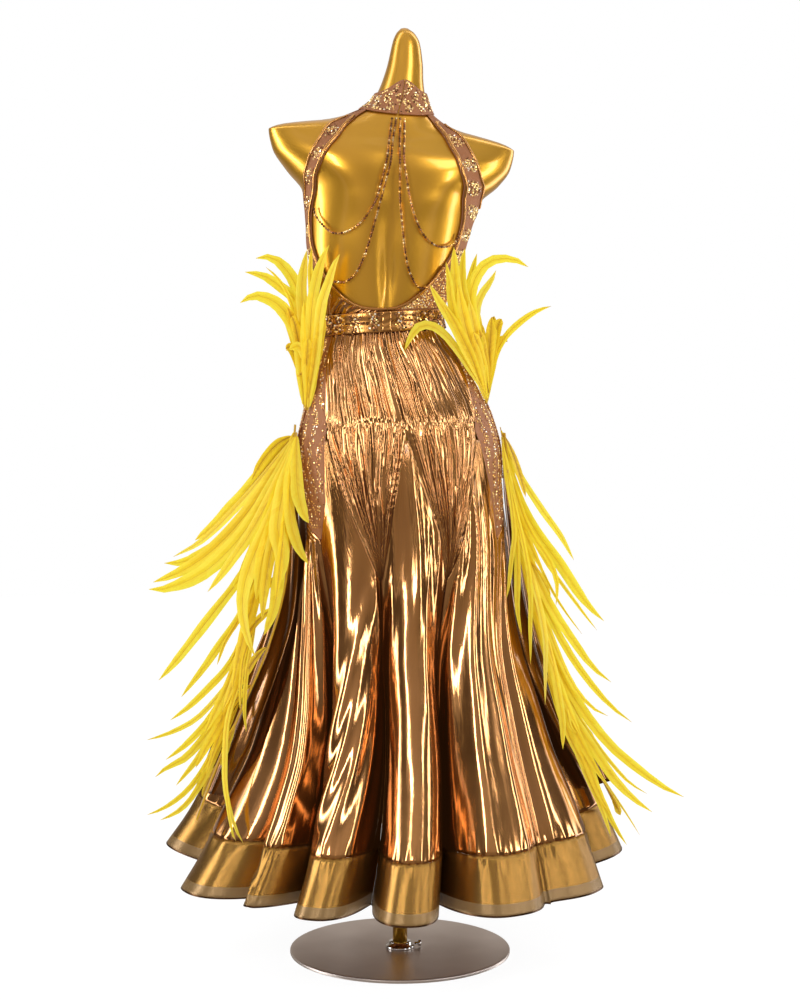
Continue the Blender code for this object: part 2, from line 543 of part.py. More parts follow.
def pleated_point(name, edges, pleats, finish):
    """A pleated point below the yoke; its pleats run together at the tip."""
    levels = (YOKE_BOTTOM - GAP / 2,) + SKIRT_LEVELS[:4] + (VALLEY_TIP,)
    heights = (0.0018, 0.0023, 0.0022, 0.0019, 0.0014, 0.0)
    left, right = edges
    places = strip_places(levels, lambda h: between(left, h), lambda h: between(right, h),
                          even(2 * pleats))
    cloth(name, places, finish, relief=lambda i, j: heights[i] if j % 2 else 0.0)


def flute_shares(start, end, columns):
    """Shares of the way from one seam to another, a set number of columns to each flute."""
    marks = [start]
    for turn in FLUTE_STARTS + [FLUTE_STARTS[0] + 360.0]:
        if start + 1.0 < turn < end - 1.0:
            marks.append(turn)
    marks.append(end)
    shares = []
    for first, last in zip(marks, marks[1:]):
        for i in range(columns):
            shares.append((first + (last - first) * i / columns - start) / (end - start))
    return shares + [1.0]


GODETS = (
    # name, seam turns below the points, left edge, right edge, columns to a flute
    ("back_centre", -18.4, 24.1, POINT_BACK_LEFT[1], POINT_BACK_RIGHT[0], 8),
    ("back_right", 24.1, 60.0, POINT_BACK_RIGHT[1], LEAF_RIGHT_BACK, 8),
    ("side_right", 60.0, 150.0, LEAF_RIGHT_FRONT, POINT_FRONT_RIGHT[0], 6),
    ("front_centre", 150.0, 210.0, POINT_FRONT_RIGHT[1], POINT_FRONT_LEFT[0], 6),
    ("side_left", 210.0, 300.0, POINT_FRONT_LEFT[1], LEAF_LEFT_FRONT, 6),
    ("back_left", -60.0, -18.4, LEAF_LEFT_BACK, POINT_BACK_LEFT[0], 8),
)


def godet_edge(edge, seam):
    """Turn of a godet's edge: along its neighbour's edge, then straight down the seam."""
    end_level = edge[-1][0]
    whole_turns = 360.0 * round((seam - edge[-1][1]) / 360.0)

    def turn(level):
        return between(edge, level) + whole_turns if level > end_level - 1e-6 else seam
    return turn


def skirt_panels(lame, band_cloth):
    """The flaring panels set in between the points, each with its own stiffened hem band."""
    for name, start, end, left, right, columns in GODETS:
        shares = flute_shares(start, end, columns)
        left_edge = godet_edge(left, start)
        right_edge = godet_edge(right, end)
        levels = [level for level in SKIRT_LEVELS if level > BAND_TOP] + [BAND_TOP + GAP / 2]
        places = strip_places(levels, left_edge, right_edge, shares)
        cloth("skirt_" + name, places, lame)
        band_levels = (BAND_TOP - GAP / 2, 0.190, HEM_LEVEL)
        band = strip_places(band_levels, left_edge, right_edge, shares)
        cloth("hem_band_" + name, band, band_cloth)


# ---------------------------------------------------------------- bodice, collar and belt
def collar_bottom(turn):
    """Level of the collar's lower edge, higher at the sides of the neck."""
    return COLLAR_BOTTOM + COLLAR_SIDE_RISE * math.sin(math.radians(turn)) ** 2


def shoulder_band(name, rows, finish):
    """The band beside the open back, from the side of the waist up to the collar."""
    places = []
    for level, inner, outer in rows:
        low, high = sorted((inner, outer))
        start = low + turn_for_gap(low, level)
        end = high - turn_for_gap(high, level)
        row = [(start + (end - start) * share, level) for share in even(3)]
        places.append(row)
    places[0] = [(turn, level + GAP) for turn, level in places[0]]
    places[-1] = [(turn, collar_bottom(turn) - GAP / 2) for turn, level in places[-1]]
    cloth(name, places, finish)


def band_binding(name, rows, side, finish):
    """The narrow shining binding sewn over a band's edge round the open back."""
    places = []
    for level, inner, _ in rows[1:-1]:
        per_metre = 0.1 / (surface(inner + 0.05, level) - surface(inner - 0.05, level)).length
        edges = sorted(inner + side * out * per_metre
                       for out in (BINDING_INSET, BINDING_INSET + BINDING_WIDTH))
        places.append([(turn, level) for turn in edges])
    cloth(name, places, finish, out=BINDING_STAND_OFF, wall=BINDING_WALL)


def lower_back(name, edge, columns, finish, pleat_height):
    """The piece between the belt and the open back's lower edge."""
    first, last = edge[0][0], edge[-1][0]
    turns = [first + (last - first) * share for share in even(columns)]
    turns[0] += turn_for_gap(turns[0], 1.13)
    turns[-1] -= turn_for_gap(turns[-1], 1.13)
    tops = [between(edge, turn) - GAP / 2 for turn in turns]
    middles = [(BELT_TOP + top) / 2 for top in tops]
    places = [[(turn, WAIST + GAP) for turn in turns], [(turn, BELT_TOP) for turn in turns],
              list(zip(turns, middles)), list(zip(turns, tops))]
    heights = (0.2, 0.4, 1.0, 0.5)
    cloth(name, places, finish, relief=lambda i, j: heights[i] * pleat_height if j % 2 else 0.0)


def bodice_front(finish):
    """The plain front, from the belt up to the collar between the armholes."""
    levels = (WAIST + GAP,) + BODY_LEVELS[:-1] + (COLLAR_BOTTOM,)
    places = []
    for level in levels:
        reach = between(FRONT_ARMHOLE, level)
        low, high = 180.0 - reach, 180.0 + reach
        start = low + turn_for_gap(low, level)
        end = high - turn_for_gap(high, level)
        places.append([(start + (end - start) * share, level) for share in even(12)])
    places[-1] = [(turn, collar_bottom(turn) - GAP / 2) for turn, level in places[-1]]
    cloth("bodice_front", places, finish,
          relief=lambda i, j: FRONT_LIFT if levels[i] > BODICE_JOIN else 0.0)


def collar(finish):
    """The stand collar, open down the centre back, where its top edge rises to a peak."""
    places = []
    for share in even(2):
        row = []
        for part in even(24):
            turn = COLLAR_OPENING + (360.0 - 2.0 * COLLAR_OPENING) * part
            peak = max(0.0, math.cos(math.radians(turn))) ** 6
            bottom = collar_bottom(turn) + GAP / 2
            top = COLLAR_TOP + COLLAR_PEAK * peak
            row.append((turn, bottom + (top - bottom) * share))
        places.append(row)
    cloth("collar", places, finish, out=COLLAR_STAND_OFF, wall=COLLAR_WALL)


def belt(finish):
    """The belt in two folded tiers, all round the waist."""
    middle = (BELT_BOTTOM + BELT_TOP) / 2
    profile = ((BELT_BOTTOM, BELT_SEAM_DEPTH), (middle, BELT_SEAM_DEPTH),
               (BELT_TOP, BELT_SEAM_DEPTH), (BELT_CREASE_TOP, BELT_TIER_DEPTH),
               (middle, BELT_FOLD_DEPTH), (BELT_CREASE_BOTTOM, BELT_TIER_DEPTH))
    columns = 36
    points, faces = [], []
    for j in range(columns):
        turn = 360.0 * j / columns
        points += [dress_point(turn, level, out) for level, out in profile]
    count = len(profile)
    for j in range(columns):
        for k in range(count):
            a = j * count + k
            b = j * count + (k + 1) % count
            c = (j + 1) % columns * count + (k + 1) % count
            d = (j + 1) % columns * count + k
            faces.append((a, b, c, d))
    add_object("belt", points, faces, finish)


def belt_tab(finish):
    """The overlap that closes the belt at the centre back."""
    places = [[(turn, level) for turn in TAB_TURNS] for level in TAB_LEVELS]
    cloth("belt_tab", places, finish, out=TAB_STAND_OFF, wall=TAB_WALL)


# ---------------------------------------------------------------- cuffs, floats and feathers
CUFFS = (
    # name, rows of level and the turns of its two edges
    ("cuff_left", ((0.980, -97.0, -84.0), (0.955, -98.0, -84.0), (0.930, -98.0, -85.0),
                   (0.905, -97.0, -86.0), (0.885, -95.0, -87.0))),
    ("cuff_right", ((0.968, 84.0, 97.0), (0.940, 84.0, 98.0), (0.905, 85.0, 98.0),
                    (0.870, 86.0, 97.0), (0.835, 87.0, 95.0))),
)
FLOAT_WALL = 0.0014


def cuffs(finish):
    """The stoned tabs on the hips that carry the feathers."""
    for name, rows in CUFFS:
        places = [[(low + (high - low) * share, level) for share in even(2)]
                  for level, low, high in rows]
        cloth(name, places, finish, out=CUFF_STAND_OFF, wall=CUFF_WALL)


def smooth_path(points, count):
    """Evenly spaced points along a smooth curve through the given points."""
    spots = np.array(points, dtype=float)
    lengths = np.concatenate(([0.0], np.cumsum(np.linalg.norm(np.diff(spots, axis=0), axis=1))))
    fine = 16 * count
    ends = np.vstack((2 * spots[0] - spots[1], spots, 2 * spots[-1] - spots[-2]))
    samples = []
    for length in np.linspace(0.0, lengths[-1], fine):
        i = min(int(np.searchsorted(lengths, length, side="right")) - 1, len(spots) - 2)
        t = (length - lengths[i]) / (lengths[i + 1] - lengths[i])
        p0, p1, p2, p3 = ends[i:i + 4]
        samples.append(0.5 * (2 * p1 + (p2 - p0) * t + (2 * p0 - 5 * p1 + 4 * p2 - p3) * t * t
                              + (3 * p1 - p0 - 3 * p2 + p3) * t ** 3))
    samples = np.array(samples)
    walked = np.concatenate(([0.0], np.cumsum(np.linalg.norm(np.diff(samples, axis=0), axis=1))))
    even_lengths = np.linspace(0.0, walked[-1], count)
    return [Vector([np.interp(l, walked, samples[:, k]) for k in range(3)]) for l in even_lengths]


def ribbon(name, spine, across, widths, thickness, finish):
    """A flat strip along a line of points, as wide at each as given, along one direction."""
    outer, inner = [], []
    for i, point in enumerate(spine):
        along = spine[min(i + 1, len(spine) - 1)] - spine[max(i - 1, 0)]
        normal = along.cross(across).normalized()
        half = across * widths[i] / 2
        edges = (point - half, point + half)
        outer.append([edge + normal * thickness / 2 for edge in edges])
        inner.append([edge - normal * thickness / 2 for edge in edges])
    return grid_solid(name, outer, inner, finish)


def float_strip(name, rows, side, finish):
    """The loose strip of lame that widens as it falls from a cuff, beside the feathers' backing."""
    spine = smooth_path([row[:3] for row in rows], 14)
    widths = [between([(row[2], row[3]) for row in rows], point.z) for point in spine]
    slant = math.radians(FLOAT_SLANT)
    across = Vector((side * math.cos(slant), math.sin(slant), 0.0))
    ribbon(name, spine, across, widths, FLOAT_WALL, finish)


def feather(points, faces, root, tip, bow, width, shape, depth_at=None):
    """Add one flat, tapering feather, broad towards the back, as a closed body."""
    control = (root + tip) / 2.0 + Vector((0.0, 0.0, 2.0 * bow))
    flat = Vector((0.0, 1.0, 0.0))
    first = len(points)
    for share, widest in shape:
        spot = root * (1 - share) ** 2 + control * (2 * share * (1 - share)) + tip * share ** 2
        along = (control - root) * (1 - share) + (tip - control) * share
        if depth_at:
            spot.y = depth_at(spot)
        across = flat.cross(along).normalized() * (width * widest / 2)
        thick = along.cross(across).normalized() * (FEATHER_THICKNESS / 2)
        points += [spot - across - thick, spot - across + thick, spot + across + thick,
                   spot + across - thick]
    last = first + 4 * (len(shape) - 1)
    for ring in range(first, last, 4):
        for k in range(4):
            n = (k + 1) % 4
            faces.append((ring + k, ring + n, ring + 4 + n, ring + 4 + k))
    faces.append(tuple(first + k for k in range(4)))
    faces.append(tuple(last + k for k in range(4)))


def fuse(base, added):
    """Join one object's solid into another's, leaving a single body."""
    union = base.modifiers.new("fuse", "BOOLEAN")
    union.operation = "UNION"
    union.solver = "EXACT"
    union.object = added
    evaluated = base.evaluated_get(bpy.context.evaluated_depsgraph_get())
    mesh = bpy.data.meshes.new_from_object(evaluated)
    base.modifiers.remove(union)
    base.data = mesh
    bpy.data.objects.remove(added, do_unlink=True)


def upward_fan(name, strip, rows, finish):
    """Feathers that rise in a fan from a short strip along the top of a cuff."""
    back, front = Vector(strip[0]), Vector(strip[1])
    base = ribbon(name, [back, front], Vector((1.0, 0.0, 0.0)), (STRIP_UP_WIDTH, STRIP_UP_WIDTH),
                  STRIP_THICKNESS, finish)
    points, faces = [], []
    for place, tip_x, height, bow, width in rows:
        root = back.lerp(front, place)
        length = math.hypot(tip_x - root.x, height - root.z)
        tip_y = root.y * (1.0 + FAN_SPREAD * length)
        feather(points, faces, root, Vector((tip_x, tip_y, height)), bow, width, FAN_SHAPE)
    fuse(base, add_object(name + "_tips", points, faces, finish))


def lane_depth(base_line, lane_y, spot):
    """y of a feather's point: in its lane at the strip, and parting from the others beyond it."""
    strip_y = between([(point.z, point.y) for point in base_line], spot.z)
    strip_x = between([(point.z, point.x) for point in base_line], spot.z)
    return strip_y + lane_y * (1.0 + LANE_SPREAD * max(0.0, abs(spot.x) - abs(strip_x)))


def downward_spray(name, strip, rows, finish):
    """Feathers that fall outwards from a long strip beside the float, each in its own lane."""
    base_line = smooth_path(strip, STRIP_POINTS)
    base = ribbon(name, base_line, Vector((0.0, 1.0, 0.0)), [STRIP_DOWN_WIDTH] * STRIP_POINTS,
                  STRIP_THICKNESS, finish)
    points, faces = [], []
    for k, (place, tip_x, height, bow, width) in enumerate(rows):
        lane = k * LANE_STEP % LANES
        lane_y = (lane - (LANES - 1) / 2) * STRIP_DOWN_WIDTH / LANES
        along = place * (STRIP_POINTS - 1)
        i = min(int(along), STRIP_POINTS - 2)
        root = base_line[i].lerp(base_line[i + 1], along - i)
        tip = Vector((tip_x, root.y, height))
        feather(points, faces, root, tip, bow, width, SPRAY_SHAPE,
                lambda spot: lane_depth(base_line, lane_y, spot))
    fuse(base, add_object(name + "_tips", points, faces, finish))


# ---------------------------------------------------------------- chains
def place_on_back(x, height):
    """Turn and level of the point of the open back that stands at this x and height."""
    level = height
    turn = 0.0
    for _ in range(6):
        row = SECTION_TABLE.at(level)
        level = height - row[5] * (x - row[0])
        turn = math.degrees(math.asin(max(-1.0, min(1.0, (x - row[0]) / row[2]))))
    return turn, level


def chains(finish):
    """The four strands of stones that hang from the collar across the open back."""
    for name, route in CHAINS:
        route_points = []
        for x, height in route:
            turn, level = place_on_back(x, height)
            route_points.append(dress_point(turn, level, CHAIN_STAND_OFF))
        path = smooth_path(route_points, 20)
        curve = bpy.data.curves.new(name, "CURVE")
        curve.dimensions = "3D"
        curve.bevel_depth = CHAIN_DIAMETER / 2
        curve.bevel_resolution = 2
        curve.use_fill_caps = True
        curve.materials.append(finish)
        spline = curve.splines.new("POLY")
        spline.points.add(len(path) - 1)
        for spot, point in zip(spline.points, path):
            spot.co = (*point, 1.0)
        bpy.context.collection.objects.link(bpy.data.objects.new(name, curve))


# ---------------------------------------------------------------- dress form and stand
def dress_form(finish):
    """The limbless form: hips, waist, shoulders and a tall neck, closed all over."""
    levels = (0.812, 0.895, 0.940, 0.990, 1.045, 1.080, 1.105) + BODY_LEVELS[:4] + BODY_LEVELS[5:]
    levels += (1.469, 1.4845, 1.500, 1.530, 1.565, 1.600, 1.6165)
    columns = 28
    rings = [[form_point(360.0 * j / columns, level) for j in range(columns)] for level in levels]
    bottom = []
    for point in rings[0]:
        bottom.append(Vector((point.x * 0.93, point.y * 0.93, FORM_BOTTOM)))
    rings.insert(0, bottom)
    points = [point for ring in rings for point in ring]
    faces = []
    for i in range(len(rings) - 1):
        for j in range(columns):
            n = (j + 1) % columns
            faces.append((i * columns + j, i * columns + n, (i + 1) * columns + n,
                          (i + 1) * columns + j))
    low, high = len(points), len(points) + 1
    top = sum(rings[-1], Vector()) / columns + Vector((0.0, 0.0, NECK_TOP_RISE))
    points += [Vector((0.0, 0.0, FORM_BOTTOM)), top]
    last = (len(rings) - 1) * columns
    for j in range(columns):
        n = (j + 1) % columns
        faces.append((low, n, j))
        faces.append((high, last + j, last + n))
    add_object("dress_form", points, faces, finish)


def turned(name, profile, segments, finish, centre=(0.0, 0.0)):
    """A solid of revolution from (radius, height) pairs that form a closed ring or meet the axis."""
    work = bmesh.new()
    verts = [work.verts.new((radius, 0.0, height)) for radius, height in profile]
    edges = [work.edges.new((verts[i], verts[i + 1])) for i in range(len(verts) - 1)]
    if profile[0][0] > 0.0:
        edges.append(work.edges.new((verts[-1], verts[0])))
    bmesh.ops.spin(work, geom=verts + edges, cent=(0, 0, 0), axis=(0, 0, 1),
                   angle=2 * math.pi, steps=segments, use_merge=True, use_duplicate=False)
    bmesh.ops.remove_doubles(work, verts=work.verts, dist=1e-6)
    work.verts.index_update()
    points = [vert.co + Vector((*centre, 0.0)) for vert in work.verts]
    faces = [tuple(vert.index for vert in face.verts) for face in work.faces]
    work.free()
    return add_object(name, points, faces, finish)


def stand(steel, chrome, brass):
    """The round base, the flange with its thumb screw, and the pole."""
    flat = BASE_RADIUS - BASE_EDGE
    turned("base_disc", ((0.0, 0.0), (flat, 0.0), (BASE_RADIUS, BASE_EDGE),
                         (BASE_RADIUS, BASE_THICKNESS - BASE_EDGE), (flat, BASE_THICKNESS),
                         (0.0, BASE_THICKNESS)), 40, steel)
    foot = BASE_THICKNESS + GAP
    inner = POLE_RADIUS + GAP
    turned("base_flange", ((inner, foot), (FLANGE_RADIUS, foot), (FLANGE_RADIUS, foot + 0.004),
                           (FLANGE_RADIUS - 0.006, foot + FLANGE_HEIGHT),
                           (inner, foot + FLANGE_HEIGHT)), 20, chrome)
    turned("pole", ((0.0, foot), (POLE_RADIUS, foot), (POLE_RADIUS, FORM_BOTTOM - GAP),
                    (0.0, FORM_BOTTOM - GAP)), 20, brass)
    screw = turned("clamp_screw", ((0.0, 0.0), (0.0025, 0.0), (0.0025, 0.006), (0.0055, 0.0065),
                                   (0.0055, 0.0115), (0.0, 0.012)), 12, chrome)
    screw.rotation_euler = (0.0, math.radians(90.0), 0.0)
    screw.location = (FLANGE_RADIUS + GAP, 0.0, foot + SCREW_HEIGHT)


# ---------------------------------------------------------------- the whole object
def build():
    for old in list(bpy.data.objects):
        bpy.data.objects.remove(old, do_unlink=True)
    lame = material("rose gold lame", (0.55, 0.30, 0.17), 0.22, 0.9)
    stoned = material("stoned mesh", (0.48, 0.24, 0.17), 0.55, 0.1)
    band_cloth = material("matte gold satin", (0.50, 0.33, 0.12), 0.45, 0.6)
    plume = material("yellow feather", (0.95, 0.76, 0.04), 0.6, 0.0)
    dark_lame = material("dark lame", (0.20, 0.10, 0.05), 0.3, 0.8)
    gold = material("gold form", (0.62, 0.42, 0.10), 0.22, 0.8)
    steel = material("polished steel", (0.55, 0.52, 0.50), 0.1, 1.0)
    chrome = material("chrome", (0.75, 0.75, 0.75), 0.1, 1.0)
    stones = material("rhinestones", (0.75, 0.55, 0.35), 0.1, 0.9)

    stand(steel, chrome, gold)
    dress_form(gold)
    leaf_panels(stoned)
    pleated_yoke("yoke_back", lambda h: between(LEAF_LEFT_BACK, h),
                 lambda h: between(LEAF_RIGHT_BACK, h), 28, lame)
    pleated_yoke("yoke_front", lambda h: between(LEAF_RIGHT_FRONT, h),
                 lambda h: between(LEAF_LEFT_FRONT, h) + 360.0, 14, lame)
    pleated_point("point_back_left", POINT_BACK_LEFT, 9, lame)
    pleated_point("point_back_right", POINT_BACK_RIGHT, 9, lame)
    pleated_point("point_front_right", POINT_FRONT_RIGHT, 5, lame)
    pleated_point("point_front_left", POINT_FRONT_LEFT, 5, lame)
    skirt_panels(lame, band_cloth)
    lower_back("lower_back_left", LOW_BACK_LEFT, 22, lame, 0.0014)
    lower_back("lower_back_right", LOW_BACK_RIGHT, 10, stoned, 0.0)
    shoulder_band("shoulder_band_left", BAND_LEFT, stoned)
    shoulder_band("shoulder_band_right", BAND_RIGHT, stoned)
    band_binding("binding_left", BAND_LEFT, -1, lame)
    band_binding("binding_right", BAND_RIGHT, 1, lame)
    bodice_front(stoned)
    collar(stoned)
    belt(lame)
    belt_tab(lame)
    chains(stones)
    cuffs(stoned)
    float_strip("float_left", FLOAT_LEFT, -1, dark_lame)
    float_strip("float_right", FLOAT_RIGHT, 1, dark_lame)
    upward_fan("feathers_left_up", STRIP_LEFT_UP, FEATHERS_LEFT_UP, plume)
    upward_fan("feathers_right_up", STRIP_RIGHT_UP, FEATHERS_RIGHT_UP, plume)
    downward_spray("feathers_left_down", STRIP_LEFT_DOWN, FEATHERS_LEFT_DOWN, plume)
    downward_spray("feathers_right_down", STRIP_RIGHT_DOWN, FEATHERS_RIGHT_DOWN, plume)


build()
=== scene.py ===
"""Looks of a ballroom dance dress on its dress form and stand.

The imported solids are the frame.  Every cloth piece here is a thin shell on the same surface as its
solid, with finer folds.  The tables of sizes below repeat the ones that the solids are made from,
but four flute depths are deeper here, and only some of the solids' hanging feathers are here.
Metres, +Z up, the back of the dress towards -Y.
"""

import json
import math

import bpy
import numpy as np
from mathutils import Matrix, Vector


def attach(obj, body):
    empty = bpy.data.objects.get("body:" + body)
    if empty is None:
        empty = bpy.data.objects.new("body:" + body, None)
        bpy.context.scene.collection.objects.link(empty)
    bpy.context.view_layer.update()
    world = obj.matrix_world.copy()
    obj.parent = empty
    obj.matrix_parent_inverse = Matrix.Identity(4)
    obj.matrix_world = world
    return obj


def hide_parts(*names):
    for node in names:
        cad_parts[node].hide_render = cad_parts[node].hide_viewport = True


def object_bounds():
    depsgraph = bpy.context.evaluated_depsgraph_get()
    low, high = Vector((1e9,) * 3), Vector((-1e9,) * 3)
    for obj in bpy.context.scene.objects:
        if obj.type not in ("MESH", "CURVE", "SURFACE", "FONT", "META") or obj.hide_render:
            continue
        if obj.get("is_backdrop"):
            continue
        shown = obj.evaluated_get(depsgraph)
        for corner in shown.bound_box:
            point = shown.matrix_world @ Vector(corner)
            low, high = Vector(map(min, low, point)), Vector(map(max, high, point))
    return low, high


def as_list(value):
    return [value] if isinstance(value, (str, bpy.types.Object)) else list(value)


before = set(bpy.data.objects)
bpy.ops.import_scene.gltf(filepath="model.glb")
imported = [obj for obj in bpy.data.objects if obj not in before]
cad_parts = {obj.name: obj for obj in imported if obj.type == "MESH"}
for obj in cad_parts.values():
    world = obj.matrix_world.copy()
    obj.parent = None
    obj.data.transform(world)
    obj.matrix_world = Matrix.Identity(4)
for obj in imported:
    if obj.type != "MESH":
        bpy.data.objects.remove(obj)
cad_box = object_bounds()

# ---------------------------------------------------------------- camera
CAMERA_TURN = math.radians(-6.0)
CAMERA_TILT = math.radians(3.4)
CAMERA_DISTANCE = 3.4
CAMERA_HEIGHT = 1.0
CAMERA_LENS = 70.3
CAMERA_SENSOR = 36.0     # its longer side, which takes in the photograph's height
PHOTO_WIDTH = 800
PHOTO_HEIGHT = 1000


def add_camera():
    data = bpy.data.cameras.new("camera")
    data.lens = CAMERA_LENS
    camera = bpy.data.objects.new("camera", data)
    camera.location = (math.sin(CAMERA_TURN) * CAMERA_DISTANCE,
                       -math.cos(CAMERA_TURN) * CAMERA_DISTANCE, CAMERA_HEIGHT)
    camera.rotation_euler = (math.pi / 2 - CAMERA_TILT, 0.0, CAMERA_TURN)
    bpy.context.collection.objects.link(camera)
    bpy.context.scene.camera = camera


add_camera()

# ---------------------------------------------------------------- driving dimensions
GAP = 0.0003             # left between pieces that meet
SEAM_GAP = 0.00004       # left at a seam between two pieces of cloth
SEAM_SHARE = 0.9         # of that gap, left on each side of a seam
WALL = 0.0012            # thickness of the cloth
EASE = 0.0034            # from the outside of the cloth to the dress form under it
HIP_EASE = 0.0026        # further ease round the hips
FRONT_EASE = 0.0035      # further ease over the chest
HIP_EASE_TOP = 0.990     # level where the hips' ease starts
EASE_FADE = 0.060        # height over which an ease comes in
FRONT_LIFT = 0.0010      # how far the front stands off over the chest
NORMAL_STEP = 0.0015     # step used to find a surface's outward direction

HEM_LEVEL = 0.145
BAND_TOP = 0.235         # seam between the skirt and the stiffened band at its hem
VALLEY_TIP = 0.670       # where the pleated points end
LEAF_TIP = 0.7366        # where the stoned side panels end
YOKE_BOTTOM = 0.935
WAIST = 1.105
BODICE_JOIN = 1.200      # seam between the lower back and the shoulder bands
BELT_TOP = 1.1242
BELT_BOTTOM = 1.0868
COLLAR_BOTTOM = 1.458

BASE_RADIUS = 0.194
BASE_THICKNESS = 0.006
POLE_RADIUS = 0.013
FLANGE_RADIUS = 0.0255
FLANGE_HEIGHT = 0.012
FORM_BOTTOM = 0.800

SCREW_HEIGHT = 0.0065    # of the thumb screw's middle above the flange's foot
NECK_TOP_RISE = 0.0015   # how far the form's top rises to its point

BELT_CREASE_TOP = 1.1160
BELT_CREASE_BOTTOM = 1.0950
BELT_SEAM_DEPTH = 0.0018     # of the belt's edges, and of its back, off the cloth
BELT_TIER_DEPTH = 0.0060     # of each folded tier off the cloth
BELT_FOLD_DEPTH = 0.0044     # of the fold between the two tiers
TAB_BOTTOM = 1.0880
TAB_TOP = 1.1232
TAB_LEFT = -5.0          # turns of the tab's two edges
TAB_RIGHT = 4.0
TAB_STAND_OFF = 0.0085
TAB_WALL = 0.0018

COLLAR_TOP = 1.499
COLLAR_PEAK = 0.020      # further rise of the collar at the centre back
COLLAR_SIDE_RISE = 0.010     # how far the collar's lower edge climbs at the sides of the neck
COLLAR_OPENING = 0.8     # half the opening down the centre back, in degrees
COLLAR_STAND_OFF = 0.0006
COLLAR_WALL = 0.0018

BINDING_INSET = 0.0006
BINDING_WIDTH = 0.0062
ARMHOLE_INSET = 0.0022   # of the narrower binding along the armhole
ARMHOLE_WIDTH = 0.0046
ARMHOLE_LIFT = 0.0008
LOW_EDGE_INSET = 0.0028  # of the binding along the lower back's top edge
LOW_EDGE_WIDTH = 0.0056
LOW_EDGE_LIFT = 0.0014

CUFF_STAND_OFF = 0.0033
CUFF_WALL = 0.0024


# ---------------------------------------------------------------- the dress's sections
# level, centre x, centre y, half width, back depth, front depth, tilt, flare, flute depth
# "tilt" is the rise per metre towards +X; "flare" moves a point from its place round the hips (0)
# to its place round the hem (1); "flute depth" is the share of the radius that a valley loses.
SECTIONS = (
    (0.1450, -0.0097, 0.000, 0.3880, 0.3700, 0.3650, 0.0000, 1.00, 0.360),
    (0.2133, -0.0010, 0.000, 0.3520, 0.3360, 0.3300, 0.0000, 0.97, 0.345),
    (0.2900, 0.0050, 0.000, 0.3130, 0.2920, 0.2860, 0.0000, 0.92, 0.330),
    (0.3699, 0.0080, 0.000, 0.2742, 0.2500, 0.2440, 0.0000, 0.85, 0.300),
    (0.4408, 0.0070, 0.000, 0.2493, 0.2220, 0.2150, 0.0000, 0.76, 0.285),
    (0.5520, 0.0026, 0.000, 0.2149, 0.1830, 0.1720, 0.0000, 0.52, 0.235),
    (0.6225, 0.0035, 0.000, 0.1978, 0.1640, 0.1500, 0.0000, 0.30, 0.175),
    (0.7278, 0.0052, 0.000, 0.1852, 0.1470, 0.1320, 0.0000, 0.08, 0.058),
    (0.8327, 0.0000, 0.000, 0.1775, 0.1380, 0.1220, 0.0000, 0.00, 0.000),
    (0.8851, -0.0017, 0.000, 0.1760, 0.1340, 0.1160, 0.0000, 0.00, 0.000),
    (0.9373, -0.0044, 0.000, 0.1645, 0.1260, 0.1120, 0.0100, 0.00, 0.000),
    (0.9894, -0.0104, 0.000, 0.1461, 0.1100, 0.1060, 0.0250, 0.00, 0.000),
    (1.0415, -0.0208, 0.000, 0.1234, 0.0890, 0.0980, 0.0450, 0.00, 0.000),
    (1.0675, -0.0269, 0.000, 0.1118, 0.0780, 0.0940, 0.0550, 0.00, 0.000),
    (1.1055, -0.0295, 0.000, 0.0995, 0.0655, 0.0895, 0.0630, 0.00, 0.000),
    (1.1625, -0.0260, 0.000, 0.1196, 0.0740, 0.0980, 0.0300, 0.00, 0.000),
    (1.2315, -0.0236, 0.000, 0.1370, 0.0880, 0.1120, -0.010, 0.00, 0.000),
    (1.2750, -0.0190, 0.000, 0.1440, 0.0960, 0.1180, -0.035, 0.00, 0.000),
    (1.3200, -0.0140, 0.000, 0.1565, 0.1040, 0.1140, -0.055, 0.00, 0.000),
    (1.3500, -0.0135, -0.002, 0.1850, 0.1030, 0.1000, -0.070, 0.00, 0.000),
    (1.3850, -0.0146, -0.006, 0.2090, 0.0920, 0.0820, -0.0765, 0.00, 0.000),
    (1.4194, -0.0146, -0.008, 0.2155, 0.0660, 0.0610, -0.0765, 0.00, 0.000),
    (1.4295, -0.0146, -0.008, 0.2000, 0.0600, 0.0560, -0.0765, 0.00, 0.000),
    (1.4380, -0.0146, -0.007, 0.1650, 0.0560, 0.0530, -0.0765, 0.00, 0.000),
    (1.4455, -0.0130, -0.006, 0.1220, 0.0530, 0.0510, -0.0765, 0.00, 0.000),
    (1.4550, -0.0100, -0.004, 0.0920, 0.0505, 0.0490, -0.0765, 0.00, 0.000),
    (1.4690, -0.0060, 0.000, 0.0640, 0.0480, 0.0460, -0.0600, 0.00, 0.000),
    (1.4845, -0.0010, 0.004, 0.0520, 0.0450, 0.0430, -0.0300, 0.00, 0.000),
    (1.5000, 0.0020, 0.006, 0.0450, 0.0410, 0.0400, 0.0000, 0.00, 0.000),
    (1.5230, 0.0060, 0.010, 0.0388, 0.0380, 0.0370, 0.0000, 0.00, 0.000),
    (1.5570, 0.0110, 0.015, 0.0330, 0.0330, 0.0320, 0.0000, 0.00, 0.000),
    (1.5910, 0.0125, 0.019, 0.0265, 0.0265, 0.0260, 0.0000, 0.00, 0.000),
    (1.6080, 0.0115, 0.021, 0.0182, 0.0182, 0.0180, 0.0000, 0.00, 0.000),
    (1.6165, 0.0100, 0.022, 0.0085, 0.0085, 0.0085, 0.0000, 0.00, 0.000),
)

